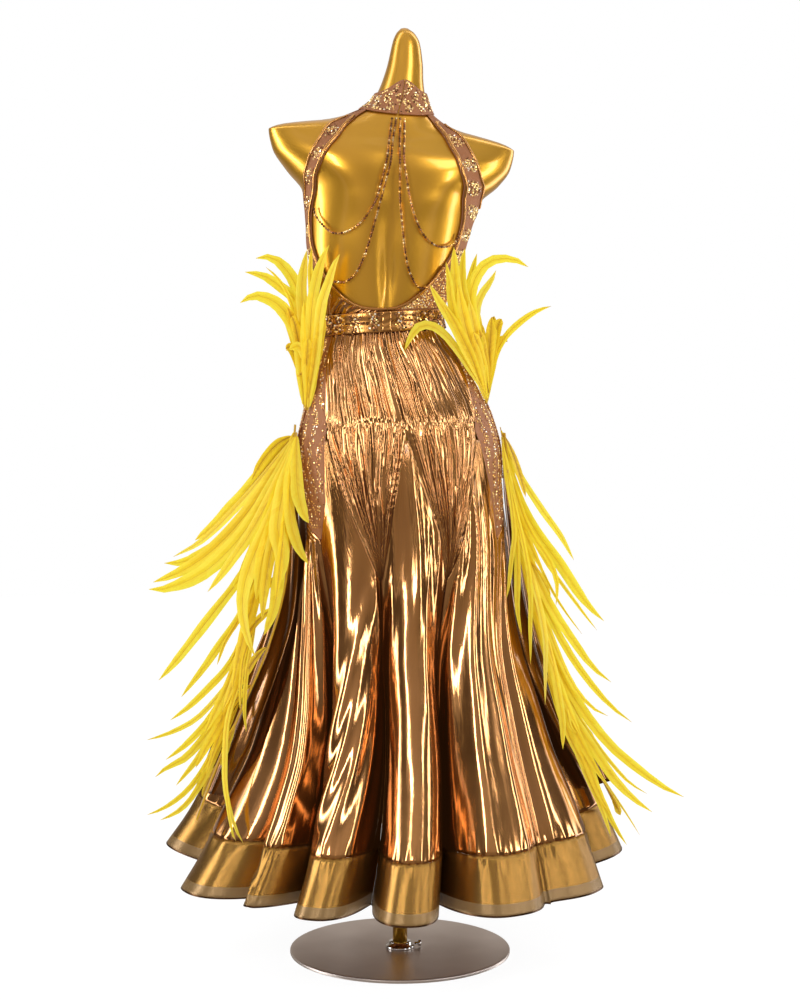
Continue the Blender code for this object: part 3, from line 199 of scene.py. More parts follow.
# ---------------------------------------------------------------- the skirt's flutes
# Each flute runs from its own valley to the next one: turn of the valley round the hips, turn of
# the valley round the hem, valley depth (share of the section's), crest reach, crest lift.
FLUTES = (
    (-60.0, -38.0, 1.00, 0.985, 0.004),
    (-18.4, -14.5, 1.00, 1.000, 0.000),
    (24.1, 10.4, 1.05, 1.000, 0.004),
    (60.0, 41.0, 0.24, 1.000, 0.006),
    (82.0, 72.0, 0.85, 1.050, 0.030),
    (112.0, 112.0, 1.00, 1.010, 0.010),
    (150.0, 140.0, 1.00, 1.000, 0.000),
    (172.0, 166.0, 0.90, 1.000, 0.000),
    (192.0, 192.0, 0.90, 1.000, 0.000),
    (210.0, 217.0, 1.00, 1.000, 0.004),
    (238.0, 238.0, 1.00, 1.060, 0.040),
    (263.0, 272.0, 0.90, 1.010, 0.004),
    (284.0, 309.0, 0.95, 0.980, 0.010),
)
# hills and hollows of the body: turn and level of the middle, width and height over which it
# fades, and how far it moves the surface forwards
BUST = (142.0, 1.255, 21.0, 0.046, 0.016)
SHOULDER_BLADE = (30.0, 1.350, 14.0, 0.045, -0.005)
SPINE = (-2.0, 1.270, 9.0, 0.110, 0.009)
SPINE_FURROW = (-1.0, 1.180, 5.0, 0.060, 0.007)

FLUTE_ROUNDNESS = 0.72   # how far a crest spreads over its valleys
VALLEY_SHARPNESS = 1.25

# ---------------------------------------------------------------- seams of the skirt
# level and turn of each seam, from the waist down
LEAF_LEFT_BACK = ((WAIST, -61.6), (1.040, -63.0), (0.980, -56.0), (0.920, -50.6), (0.800, -51.0),
                  (LEAF_TIP, -59.2))
LEAF_LEFT_FRONT = ((WAIST, -118.0), (0.920, -120.0), (0.830, -92.0), (LEAF_TIP, -60.8))
LEAF_RIGHT_BACK = ((WAIST, 80.0), (1.040, 69.0), (0.985, 56.0), (0.920, 46.5), (0.820, 56.0),
                   (LEAF_TIP, 59.2))
LEAF_RIGHT_FRONT = ((WAIST, 118.0), (0.920, 120.0), (0.830, 92.0), (LEAF_TIP, 60.8))
POINT_BACK_LEFT = (((0.920, -50.6), (VALLEY_TIP, -19.2)), ((0.915, 0.0), (VALLEY_TIP, -17.6)))
POINT_BACK_RIGHT = (((0.915, 0.0), (VALLEY_TIP, 23.3)), ((0.920, 46.5), (VALLEY_TIP, 24.9)))
POINT_FRONT_RIGHT = (((0.920, 120.0), (VALLEY_TIP, 149.2)), ((0.915, 180.0), (VALLEY_TIP, 150.8)))
POINT_FRONT_LEFT = (((0.915, 180.0), (VALLEY_TIP, 209.2)), ((0.920, 240.0), (VALLEY_TIP, 210.8)))

SKIRT_TOP = 0.905        # where the godets' tips end under the yoke

# ---------------------------------------------------------------- edges of the bodice
# level, turn of the open back's edge, turn of the armhole's edge
BAND_LEFT = (
    (1.200, -63.0, -90.0), (1.240, -71.5, -90.0), (1.270, -73.0, -90.0), (1.300, -68.0, -88.0),
    (1.315, -62.0, -80.0), (1.330, -56.0, -70.0), (1.360, -41.5, -52.0), (1.390, -32.5, -41.5),
    (1.4245, -24.5, -34.5), (1.434, -25.5, -36.5), (1.442, -31.0, -42.0), (1.450, -39.5, -52.0),
    (COLLAR_BOTTOM, -48.0, -63.0),
)
BAND_RIGHT = (
    (1.200, 47.0, 90.0), (1.240, 55.5, 90.0), (1.270, 56.0, 90.0), (1.300, 51.0, 86.0),
    (1.315, 47.5, 78.0), (1.330, 44.0, 68.0), (1.345, 39.5, 58.0), (1.360, 34.0, 49.0),
    (1.390, 28.5, 40.5), (1.4245, 23.5, 34.5), (1.434, 25.0, 37.0), (1.442, 30.5, 43.5),
    (1.450, 38.0, 54.0), (COLLAR_BOTTOM, 45.0, 66.0),
)
# turn of the front's armhole edge from the centre front, by level
FRONT_ARMHOLE = (
    (WAIST, 90.0), (1.270, 90.0), (1.300, 88.0), (1.315, 79.0), (1.330, 70.0), (1.360, 58.0),
    (1.390, 50.0), (1.4245, 46.0), (1.434, 49.0), (1.442, 55.0), (1.450, 66.0),
    (COLLAR_BOTTOM, 80.0),
)
# turn and level of the open back's lower edge
LOW_BACK_LEFT = ((-90.0, 1.200), (-63.0, 1.200), (-57.5, 1.185), (-50.0, 1.168), (-40.0, 1.151),
                 (-31.0, 1.140), (-20.0, 1.133), (-6.0, 1.130), (-0.4, 1.1295))
LOW_BACK_RIGHT = ((0.4, 1.1295), (6.0, 1.130), (17.0, 1.137), (24.0, 1.147), (31.0, 1.160),
                  (39.0, 1.179), (47.0, 1.200), (90.0, 1.200))

# ---------------------------------------------------------------- chains across the open back
# x and height of each strand's points, from the collar down
CHAINS = (
    ("chain_outer_left", ((-0.020, 1.447), (-0.027, 1.408), (-0.034, 1.370), (-0.048, 1.316),
                          (-0.061, 1.290), (-0.077, 1.270), (-0.100, 1.256), (-0.121, 1.256),
                          (-0.138, 1.272), (-0.147, 1.287), (-0.1495, 1.297))),
    ("chain_inner_left", ((-0.013, 1.447), (-0.021, 1.408), (-0.027, 1.370), (-0.038, 1.327),
                          (-0.055, 1.261), (-0.068, 1.218), (-0.082, 1.188), (-0.100, 1.173),
                          (-0.115, 1.174))),
    ("chain_inner_right", ((-0.006, 1.447), (-0.0095, 1.408), (-0.011, 1.370), (-0.011, 1.312),
                           (-0.005, 1.256), (0.003, 1.206), (0.015, 1.175), (0.027, 1.163),
                           (0.036, 1.165))),
    ("chain_outer_right", ((0.001, 1.447), (-0.0018, 1.408), (-0.004, 1.377), (0.001, 1.337),
                           (0.010, 1.295), (0.028, 1.255), (0.052, 1.235), (0.076, 1.235),
                           (0.088, 1.244), (0.092, 1.253))),
)
CHAIN_STAND_OFF = 0.0032

# ---------------------------------------------------------------- feathers
# Each row is one feather of the solids that is filled in behind the main ones: place along its
# strip (0 top or back, 1 bottom or front), tip x and height, how far its middle bows up (+) or
# down (-), and its width.
FEATHERS_LEFT_UP = (
    (0.03, -0.150, 1.205, 0.020, 0.018), (0.12, -0.206, 1.058, 0.024, 0.016),
    (0.21, -0.240, 1.205, 0.045, 0.015), (0.30, -0.256, 1.222, 0.040, 0.016),
    (0.39, -0.284, 1.136, 0.055, 0.018), (0.48, -0.276, 1.192, 0.050, 0.018),
    (0.57, -0.205, 1.205, 0.030, 0.018), (0.66, -0.198, 1.262, 0.016, 0.009),
    (0.75, -0.184, 1.222, 0.010, 0.017), (0.84, -0.168, 1.232, 0.010, 0.018),
    (0.95, -0.138, 1.240, 0.014, 0.018),
)
FEATHERS_RIGHT_UP = (
    (0.03, 0.050, 1.166, 0.020, 0.016), (0.12, 0.076, 1.208, 0.020, 0.018),
    (0.21, 0.160, 1.215, 0.020, 0.018), (0.30, 0.186, 1.226, 0.040, 0.018),
    (0.39, 0.226, 1.206, 0.045, 0.018), (0.48, 0.262, 1.134, 0.062, 0.012),
    (0.57, 0.214, 1.104, 0.060, 0.014), (0.66, 0.196, 1.195, 0.030, 0.018),
    (0.75, 0.136, 1.230, 0.006, 0.018), (0.84, 0.112, 1.235, 0.006, 0.018),
    (0.95, 0.090, 1.238, 0.004, 0.017),
)
FEATHERS_LEFT_DOWN = (
    (0.014, -0.207, 0.822, 0.008, 0.016), (0.030, -0.398, 0.697, 0.050, 0.020),
    (0.060, -0.218, 0.688, 0.010, 0.020), (0.110, -0.332, 0.634, 0.030, 0.020),
    (0.180, -0.300, 0.560, 0.030, 0.020), (0.260, -0.246, 0.556, 0.012, 0.020),
    (0.366, -0.380, 0.452, 0.040, 0.016), (0.450, -0.402, 0.412, 0.040, 0.016),
    (0.550, -0.380, 0.345, 0.030, 0.016), (0.650, -0.400, 0.300, 0.024, 0.014),
    (0.750, -0.356, 0.240, 0.010, 0.014), (0.860, -0.396, 0.190, 0.010, 0.014),
)
FEATHERS_RIGHT_DOWN = (
    (0.010, 0.250, 0.690, 0.020, 0.016), (0.110, 0.258, 0.600, 0.010, 0.016),
    (0.310, 0.352, 0.488, 0.020, 0.018), (0.530, 0.356, 0.370, 0.014, 0.016),
    (0.738, 0.402, 0.270, 0.026, 0.014), (0.960, 0.410, 0.180, 0.008, 0.014),
)
# the narrow strips that the feathers grow from: x, y and height of each point of the middle line
STRIP_LEFT_UP = ((-0.1670, -0.034, 0.985), (-0.1670, 0.026, 0.985))
STRIP_RIGHT_UP = ((0.1510, -0.034, 0.985), (0.1510, 0.026, 0.985))
STRIP_LEFT_DOWN = ((-0.183, -0.010, 0.930), (-0.190, -0.032, 0.830), (-0.194, -0.046, 0.740),
                   (-0.207, -0.056, 0.640), (-0.238, -0.064, 0.540), (-0.282, -0.070, 0.440),
                   (-0.322, -0.074, 0.350), (-0.356, -0.078, 0.262))
STRIP_RIGHT_DOWN = ((0.181, -0.010, 0.915), (0.187, -0.028, 0.833), (0.197, -0.038, 0.763),
                    (0.210, -0.046, 0.676), (0.232, -0.052, 0.572), (0.263, -0.056, 0.485),
                    (0.297, -0.060, 0.415), (0.374, -0.066, 0.262))
# the floats: x, y and height of the middle line, and width
FLOAT_LEFT = ((-0.186, 0.010, 0.900, 0.010), (-0.192, -0.010, 0.800, 0.014),
              (-0.199, -0.026, 0.700, 0.020), (-0.218, -0.036, 0.600, 0.034),
              (-0.254, -0.044, 0.500, 0.046), (-0.298, -0.050, 0.400, 0.054),
              (-0.340, -0.054, 0.300, 0.056))
FLOAT_RIGHT = ((0.185, 0.010, 0.880, 0.010), (0.193, -0.012, 0.790, 0.014),
               (0.207, -0.022, 0.700, 0.022), (0.227, -0.030, 0.600, 0.036),
               (0.257, -0.034, 0.500, 0.048), (0.304, -0.040, 0.400, 0.058),
               (0.352, -0.044, 0.300, 0.060))
FLOAT_SLANT = 45.0       # how far the floats turn their outer edge to the front, in degrees
STRIP_THICKNESS = 0.0026
STRIP_UP_WIDTH = 0.008
STRIP_DOWN_WIDTH = 0.026
LANES = 8                # lanes of feathers across a long strip
LANE_STEP = 5            # lanes from one feather to the next, so that neighbours never touch
LANE_SPREAD = 16.0       # how far the lanes part, per metre that a tip stands out from its strip
FAN_SPREAD = 9.0         # how far an upward fan opens, per metre of feather

# ---------------------------------------------------------------- tables and curves
def slopes_of(xs, ys):
    """Slopes for a cubic through the table's points that never overshoots them."""
    steps = np.diff(xs)
    rises = np.diff(ys, axis=0) / steps[:, None]
    slopes = np.zeros_like(ys)
    before, after = rises[:-1], rises[1:]
    agree = before * after > 0.0
    mean = 2.0 * before * after / np.where(agree, before + after, 1.0)
    slopes[1:-1] = np.where(agree, mean, 0.0)
    slopes[0] = rises[0]
    slopes[-1] = rises[-1]
    return slopes


class SmoothTable:
    """Rows of numbers read between their first column's values along a smooth curve."""

    def __init__(self, rows):
        table = np.array(rows, dtype=float)
        self.xs = table[:, 0]
        self.ys = table[:, 1:]
        self.slopes = slopes_of(self.xs, self.ys)

    def at(self, x):
        x = np.clip(x, self.xs[0], self.xs[-1])
        i = np.clip(np.searchsorted(self.xs, x, side="right") - 1, 0, len(self.xs) - 2)
        width = (self.xs[i + 1] - self.xs[i])[..., None]
        t = (x - self.xs[i])[..., None] / width
        rise = self.ys[i + 1] - self.ys[i]
        m0 = self.slopes[i] * width
        m1 = self.slopes[i + 1] * width
        curve = t * m0 + t * t * (3 * rise - 2 * m0 - m1)
        return np.moveaxis(self.ys[i] + curve + t ** 3 * (m0 + m1 - 2 * rise), -1, 0)


def between(rows, x, column=1, along=0):
    """Straight-line reading of one column of a table by another that rises or falls."""
    rows = sorted(rows)
    return np.interp(x, [row[along] for row in rows], [row[column] for row in rows])


def bump(x, middle, width):
    """A soft hill of height 1."""
    return np.exp(-((x - middle) / width) ** 2)


def ease(x):
    """0 below 0, 1 above 1, and a smooth rise between."""
    x = np.clip(x, 0.0, 1.0)
    return x * x * (3.0 - 2.0 * x)


def hill(form, turn, level):
    middle, height, width, fade, rise = form
    return rise * bump(turn, middle, width) * bump(level, height, fade)


def turn_from_back(turn):
    return (turn + 180.0) % 360.0 - 180.0


def unit(vectors):
    return vectors / np.maximum(np.linalg.norm(vectors, axis=-1, keepdims=True), 1e-12)


SECTION_TABLE = SmoothTable(SECTIONS)
FLUTE_TABLE = np.array(FLUTES)
FLUTE_ENDS = np.vstack((FLUTE_TABLE[1:], FLUTE_TABLE[:1] + (360.0, 360.0, 0.0, 0.0, 0.0)))


# ---------------------------------------------------------------- the one surface
def flute_at(turn):
    """Number of the flute, place across it (-1 to 1), and its row and the next one."""
    wrapped = (turn - FLUTE_TABLE[0, 0]) % 360.0 + FLUTE_TABLE[0, 0]
    i = np.searchsorted(FLUTE_TABLE[:, 0], wrapped, side="right") - 1
    here = np.moveaxis(FLUTE_TABLE[i], -1, 0)
    there = np.moveaxis(FLUTE_ENDS[i], -1, 0)
    across = 2.0 * (wrapped - here[0]) / (there[0] - here[0]) - 1.0
    return i, across, wrapped, here, there


def surface(turn, level):
    """The outside of the plain cloth, for arrays of turn and level."""
    turn, level = np.broadcast_arrays(np.asarray(turn, float), np.asarray(level, float))
    cx, cy, half, back, front, tilt, flare, flute = SECTION_TABLE.at(level)
    _, across, wrapped, here, there = flute_at(turn)
    spread = across + FLUTE_ROUNDNESS * np.sin(math.pi * across) / math.pi
    hem_turn = 0.5 * (here[1] + there[1]) + 0.5 * (there[1] - here[1]) * spread
    valley = (0.5 - 0.5 * np.cos(math.pi * across)) ** VALLEY_SHARPNESS
    depth = here[2] + (there[2] - here[2]) * 0.5 * (across + 1.0)
    scale = 1.0 - flute * depth * valley + flare * (here[3] - 1.0) * (1.0 - valley)
    rise = flare * flare * here[4] * (1.0 - valley)
    angle = np.radians(turn + flare * (hem_turn - wrapped))
    x = half * np.sin(angle) * scale
    cosine = np.cos(angle)
    y = -np.where(cosine > 0.0, back, front) * cosine * scale
    from_back = np.abs(turn_from_back(turn))
    body = np.where(cosine < 0.0, hill(BUST, from_back, level),
                    hill(SHOULDER_BLADE, from_back, level))
    y = y + np.where(level > WAIST, body, 0.0)
    return np.stack((cx + x, cy + y, level + tilt * x + rise), axis=-1)


def outward(turn, level):
    """The surface's outward direction."""
    turn, level = np.broadcast_arrays(np.asarray(turn, float), np.asarray(level, float))
    half = SECTION_TABLE.at(level)[2]
    turn_step = np.degrees(NORMAL_STEP / np.maximum(half, 0.02))
    across = surface(turn + turn_step, level) - surface(turn - turn_step, level)
    high = np.minimum(level + NORMAL_STEP, SECTIONS[-1][0])
    low = np.maximum(level - NORMAL_STEP, SECTIONS[0][0])
    return unit(np.cross(across, surface(turn, high) - surface(turn, low)))


def dress_point(turn, level, out=0.0):
    out = np.broadcast_to(out, np.broadcast(turn, level).shape)
    return surface(turn, level) + outward(turn, level) * out[..., None]


def form_point(turn, level):
    """A point on the dress form, inside the cloth, with the furrow along its spine."""
    hips = np.clip((HIP_EASE_TOP - level) / EASE_FADE, 0.0, 1.0)
    chest = np.where(level < COLLAR_BOTTOM, np.clip((level - BELT_TOP) / EASE_FADE, 0.0, 1.0), 0.0)
    front = np.maximum(0.0, -np.cos(np.radians(turn)))
    points = dress_point(turn, level, -EASE - HIP_EASE * hips - FRONT_EASE * chest * front)
    points[..., 1] += hill(SPINE, turn_from_back(turn), level)
    points[..., 1] += hill(SPINE_FURROW, turn_from_back(turn), level)
    return points


# ---------------------------------------------------------------- meshes
def add_mesh(name, points, faces, finish, uv=None, tone=None):
    """An object from points and faces; uv is one pair for each corner, tone one for each face."""
    mesh = bpy.data.meshes.new(name)
    mesh.from_pydata(np.asarray(points).reshape(-1, 3).tolist(), [], np.asarray(faces).tolist())
    if uv is not None:
        layer = mesh.uv_layers.new(name="cloth")
        layer.data.foreach_set("uv", np.asarray(uv, dtype=np.float32).ravel())
    if tone is not None:
        attribute = mesh.attributes.new("tone", "FLOAT", "FACE")
        attribute.data.foreach_set("value", np.asarray(tone, dtype=np.float32).ravel())
    mesh.materials.append(finish)
    mesh.shade_smooth()
    made = bpy.data.objects.new(name, mesh)
    bpy.context.collection.objects.link(made)
    return made


def walked(points, axis):
    """Distance walked along one axis of a grid of points."""
    steps = np.linalg.norm(np.diff(points, axis=axis), axis=-1)
    pad = [(0, 0), (0, 0)]
    pad[axis] = (1, 0)
    return np.cumsum(np.pad(steps, pad), axis=axis)


def grid_mesh(name, points, finish, closed=False):
    """A sheet from a grid of points, rows upwards and columns towards +turn, mapped in metres."""
    if closed:
        points = np.concatenate((points, points[:, :1]), axis=1)
    rows, columns = points.shape[:2]
    middle = walked(points[rows // 2:rows // 2 + 1], 1)[0]
    u = np.broadcast_to(middle[None, :], (rows, columns))
    v = walked(points, 0)
    index = np.arange(rows * columns).reshape(rows, columns)
    corners = np.stack((index[:-1, :-1], index[:-1, 1:], index[1:, 1:], index[1:, :-1]), axis=-1)
    corners = corners.reshape(-1, 4)
    uv = np.stack((u, v), axis=-1).reshape(-1, 2)[corners.ravel()]
    faces = corners
    if closed:
        at = np.arange(rows * (columns - 1)).reshape(rows, columns - 1)
        at = np.concatenate((at, at[:, :1]), axis=1).ravel()
        faces = at[corners]
        points = points[:, :-1]
    return add_mesh(name, points, faces, finish, uv)


def wall(thing, thickness, offset=-1.0):
    """Give a sheet its thickness, inwards."""
    solid = thing.modifiers.new("wall", "SOLIDIFY")
    solid.thickness = thickness
    solid.offset = offset
    solid.use_even_offset = False
    return thing


def piece(thing, slot, *nodes):
    """The piece rides on the one body and stands for its nodes, hiding them; slot is not used."""
    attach(thing, "root")
    if nodes:
        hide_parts(*nodes)
    return thing


def joined(groups):
    """Several (points, faces, uv, tone) groups as one."""
    points, faces, uvs, tones = [], [], [], []
    count = 0
    for group in groups:
        points.append(group[0].reshape(-1, 3))
        faces.append(group[1] + count)
        uvs.append(group[2])
        tones.append(group[3])
        count += len(points[-1])
    return np.vstack(points), np.vstack(faces), np.vstack(uvs), np.concatenate(tones)


def tube(path, radii, sides):
    """Points and quads of a tube along a path; radii is one number or one for each point."""
    path = np.asarray(path, float)
    radii = np.broadcast_to(radii, len(path))
    along = unit(np.gradient(path, axis=0))
    start = np.array((0.0, 0.0, 1.0)) if abs(along[0, 2]) < 0.9 else np.array((1.0, 0.0, 0.0))
    side = unit(np.cross(along[0], start))
    rings = []
    for i in range(len(path)):
        side = unit(side - along[i] * np.dot(side, along[i]))
        other = np.cross(along[i], side)
        angles = np.arange(sides) * 2.0 * math.pi / sides
        rings.append(path[i] + radii[i] * (np.cos(angles)[:, None] * side
                                           + np.sin(angles)[:, None] * other))
    points = np.array(rings)
    index = np.arange(len(path) * sides).reshape(len(path), sides)
    wrapped = np.roll(index, -1, axis=1)
    quads = np.stack((index[:-1], wrapped[:-1], wrapped[1:], index[1:]), axis=-1).reshape(-1, 4)
    return points.reshape(-1, 3), quads


def smooth_path(points, count):
    """Evenly spaced points along a smooth curve through the given points."""
    spots = np.array(points, dtype=float)
    lengths = np.concatenate(([0.0], np.cumsum(np.linalg.norm(np.diff(spots, axis=0), axis=1))))
    ends = np.vstack((2 * spots[0] - spots[1], spots, 2 * spots[-1] - spots[-2]))
    samples = []
    for length in np.linspace(0.0, lengths[-1], 16 * count):
        i = min(int(np.searchsorted(lengths, length, side="right")) - 1, len(spots) - 2)
        t = (length - lengths[i]) / (lengths[i + 1] - lengths[i])
        p0, p1, p2, p3 = ends[i:i + 4]
        samples.append(0.5 * (2 * p1 + (p2 - p0) * t + (2 * p0 - 5 * p1 + 4 * p2 - p3) * t * t
                              + (3 * p1 - p0 - 3 * p2 + p3) * t ** 3))
    samples = np.array(samples)
    distance = np.concatenate(([0.0], np.cumsum(np.linalg.norm(np.diff(samples, axis=0), axis=1))))
    even_lengths = np.linspace(0.0, distance[-1], count)
    return np.stack([np.interp(even_lengths, distance, samples[:, k]) for k in range(3)], axis=-1)


# ---------------------------------------------------------------- materials
class Finish:
    """Builds one material's nodes around a Principled BSDF."""

    def __init__(self, name):
        self.material = bpy.data.materials.new(name)
        self.material.use_nodes = True
        self.tree = self.material.node_tree
        self.shader = self.tree.nodes["Principled BSDF"]
        self.output = self.tree.nodes["Material Output"]
        self.uv = self.add("ShaderNodeUVMap", uv_map="cloth").outputs[0]
        self.place = self.add("ShaderNodeTexCoord").outputs["Object"]

    def add(self, kind, **settings):
        node = self.tree.nodes.new(kind)
        for key, value in settings.items():
            setattr(node, key, value)
        return node

    def put(self, socket, value):
        """Set a socket to a number or colour, or link an output to it."""
        if isinstance(value, bpy.types.NodeSocket):
            self.tree.links.new(value, socket)
        elif isinstance(value, tuple) and len(value) == 3 and socket.type == "RGBA":
            socket.default_value = (*value, 1.0)
        else:
            socket.default_value = value

    def set(self, **values):
        for key, value in values.items():
            self.put(self.shader.inputs[key.replace("_", " ")], value)
        return self

    def scaled(self, source, scale):
        node = self.add("ShaderNodeMapping")
        self.put(node.inputs["Vector"], source)
        node.inputs["Scale"].default_value = scale
        return node.outputs[0]

    def noise(self, source, scale, detail=2.0, rough=0.5, size=1.0, distortion=0.0):
        node = self.add("ShaderNodeTexNoise")
        self.put(node.inputs["Vector"], self.scaled(source, scale))
        self.put(node.inputs["Scale"], size)
        self.put(node.inputs["Detail"], detail)
        self.put(node.inputs["Roughness"], rough)
        self.put(node.inputs["Distortion"], distortion)
        return node.outputs[0]

    def wave(self, source, scale, bands="X", distortion=0.0):
        node = self.add("ShaderNodeTexWave", bands_direction=bands)
        self.put(node.inputs["Vector"], self.scaled(source, scale))
        self.put(node.inputs["Scale"], 1.0)
        self.put(node.inputs["Distortion"], distortion)
        return node.outputs["Fac"]

    def spots(self, source, scale, randomness=1.0):
        node = self.add("ShaderNodeTexVoronoi")
        self.put(node.inputs["Vector"], self.scaled(source, scale))
        self.put(node.inputs["Scale"], 1.0)
        self.put(node.inputs["Randomness"], randomness)
        return node.outputs["Distance"]

    def ramp(self, value, stops):
        node = self.add("ShaderNodeValToRGB")
        self.put(node.inputs[0], value)
        ends = node.color_ramp.elements
        while len(ends) < len(stops):
            ends.new(0.5)
        for end, (place, colour) in zip(ends, stops):
            end.position = place
            end.color = (*colour, 1.0) if isinstance(colour, tuple) else (colour,) * 3 + (1.0,)
        return node.outputs[0]

    def maths(self, how, a, b=0.0, clamp=False):
        node = self.add("ShaderNodeMath", operation=how, use_clamp=clamp)
        self.put(node.inputs[0], a)
        self.put(node.inputs[1], b)
        return node.outputs[0]

    def mix(self, share, a, b, blend="MIX"):
        node = self.add("ShaderNodeMix", data_type="RGBA", blend_type=blend)
        self.put(node.inputs[0], share)
        self.put(node.inputs[6], a)
        self.put(node.inputs[7], b)
        return node.outputs[2]

    def part(self, source, axis):
        node = self.add("ShaderNodeSeparateXYZ")
        self.put(node.inputs[0], source)
        return node.outputs[axis]

    def bumps(self, *layers):
        """Stack (height, strength, distance) bumps into the shader's normal."""
        normal = None
        for height, strength, distance in layers:
            node = self.add("ShaderNodeBump")
            self.put(node.inputs["Height"], height)
            node.inputs["Strength"].default_value = strength
            node.inputs["Distance"].default_value = distance
            if normal is not None:
                self.put(node.inputs["Normal"], normal)
            normal = node.outputs[0]
        self.put(self.shader.inputs["Normal"], normal)
        return self


# ---------------------------------------------------------------- finishes
SHADE_REACH = 0.07       # how far round a point its folds cast painted shade
SHADE_DEPTH = 1.15
DEEP_GLOW = (0.010, 0.0035, 0.0008)   # painted glow: light the lame gives off even where none reaches it
SHADOW = (0.085, 0.031, 0.005)    # painted shadow: the lame's colour deep in a fold


def lame_finish(name, light, dark, roughness, crinkle):
    """Metallic foil-faced cloth: a fine crinkle, a slow change of tone, painted shade and glow."""
    finish = Finish(name)
    slow = finish.noise(finish.uv, (9.0, 5.0, 1.0), 3.0)
    tone = finish.mix(slow, light, dark)
    fine = finish.noise(finish.uv, (420.0, 160.0, 1.0), 3.0, 0.6)
    streak = finish.noise(finish.uv, (120.0, 14.0, 1.0), 2.0)
    patch = finish.noise(finish.uv, (38.0, 22.0, 1.0), 2.0, 0.5, distortion=0.6)
    tone = finish.mix(finish.maths("MULTIPLY", fine, 0.35), tone, dark)
    # painted shade: ambient occlusion darkens the colour towards SHADOW deep in the folds
    shade = finish.add("ShaderNodeAmbientOcclusion", samples=6)
    shade.inputs["Distance"].default_value = SHADE_REACH
    unshaded_share = finish.maths("POWER", shade.outputs["AO"], SHADE_DEPTH)
    # the emission of DEEP_GLOW is a painted glow that lifts the darkest folds
    finish.set(Base_Color=finish.mix(unshaded_share, SHADOW, tone),
               Metallic=1.0, Coat_Weight=0.55, Coat_Roughness=0.10,
               Emission_Color=DEEP_GLOW, Emission_Strength=1.0,
               Roughness=finish.maths("ADD", finish.maths("MULTIPLY", patch, 0.16),
                                      roughness - 0.08))
    finish.bumps((streak, 0.42 * crinkle, 0.0010), (patch, 0.30 * crinkle, 0.0012),
                 (fine, 0.25, 0.0002))
    return finish.material


def mesh_finish(name, light, dark):
    """Fine stretch mesh with a soft glitter, the ground that the stones sit on."""
    finish = Finish(name)
    slow = finish.noise(finish.uv, (30.0, 30.0, 1.0), 3.0)
    weave = finish.maths("MULTIPLY", finish.wave(finish.uv, (560.0, 560.0, 1.0), "X"),
                         finish.wave(finish.uv, (560.0, 560.0, 1.0), "Y"))
    glitter = finish.maths("LESS_THAN", finish.spots(finish.uv, (620.0, 620.0, 1.0)), 0.2)
    tone = finish.mix(slow, light, dark)
    tone = finish.mix(finish.maths("MULTIPLY", weave, 0.4), tone, tuple(0.5 * c for c in dark))
    finish.set(Base_Color=finish.mix(finish.maths("MULTIPLY", glitter, 0.5), tone,
                                     (0.95, 0.70, 0.50)),
               Metallic=finish.maths("MULTIPLY", glitter, 0.7),
               Roughness=finish.maths("SUBTRACT", 0.55, finish.maths("MULTIPLY", glitter, 0.3)),
               Sheen_Weight=0.06)
    finish.bumps((weave, 0.5, 0.0004), (slow, 0.15, 0.001))
    return finish.material


def hem_finish():
    """Stiff gold satin that turns sheer in its lowest strip and ends in a brown bound edge."""
    finish = Finish("gold satin hem")
    rise = finish.part(finish.uv, 1)
    sheer = finish.maths("MULTIPLY", finish.maths("LESS_THAN", rise, SHEER_HEIGHT),
                         finish.maths("GREATER_THAN", rise, EDGE_HEIGHT))
    edge = finish.maths("LESS_THAN", rise, EDGE_HEIGHT)
    slow = finish.noise(finish.uv, (16.0, 2.0, 1.0), 2.0)
    tone = finish.mix(slow, (0.45, 0.250, 0.066), (0.28, 0.140, 0.032))
    thread = finish.wave(finish.uv, (900.0, 900.0, 1.0), "Y", 1.5)
    tone = finish.mix(finish.maths("MULTIPLY", thread, 0.25), tone, (0.26, 0.15, 0.05))
    tone = finish.mix(sheer, tone, (0.30, 0.175, 0.06))
    tone = finish.mix(edge, tone, (0.17, 0.08, 0.03))
    clear = finish.maths("MULTIPLY", sheer, SHEER_CLEARNESS)
    finish.set(Base_Color=tone, Metallic=finish.maths("SUBTRACT", 0.92,
                                                      finish.maths("MULTIPLY", sheer, 0.5)),
               Roughness=0.27, Alpha=finish.maths("SUBTRACT", 1.0, clear))
    crease = finish.noise(finish.uv, (46.0, 7.0, 1.0), 2.0)
    finish.bumps((crease, 0.14, 0.002), (thread, 0.15, 0.0003))
    return finish.material


def feather_finish():
    """Dyed quill and barbs: brighter and thinner at the edges, amber near the quill."""
    finish = Finish("yellow feather")
    tone = finish.add("ShaderNodeAttribute", attribute_name="tone").outputs["Fac"]
    colour = finish.ramp(tone, ((0.0, (0.26, 0.10, 0.005)), (0.30, (0.60, 0.36, 0.006)),
                                (0.62, (0.89, 0.68, 0.012)), (1.0, (0.95, 0.87, 0.055))))
    barb = finish.noise(finish.place, (900.0, 900.0, 120.0), 2.0)
    colour = finish.mix(finish.maths("MULTIPLY", barb, 0.35), colour, (0.80, 0.46, 0.01))
    # painted glow: the feathers give off light in their own colour
    finish.set(Base_Color=colour, Roughness=0.5, Sheen_Weight=0.5,
               Emission_Color=colour, Emission_Strength=0.19)
    finish.bumps((barb, 0.3, 0.0004))
    through = finish.add("ShaderNodeBsdfTranslucent")
    finish.put(through.inputs["Color"], colour)
    both = finish.add("ShaderNodeMixShader")
    both.inputs[0].default_value = 0.42
    finish.put(both.inputs[1], finish.shader.outputs[0])
    finish.put(both.inputs[2], through.outputs[0])
    finish.put(finish.output.inputs["Surface"], both.outputs[0])
    return finish.material


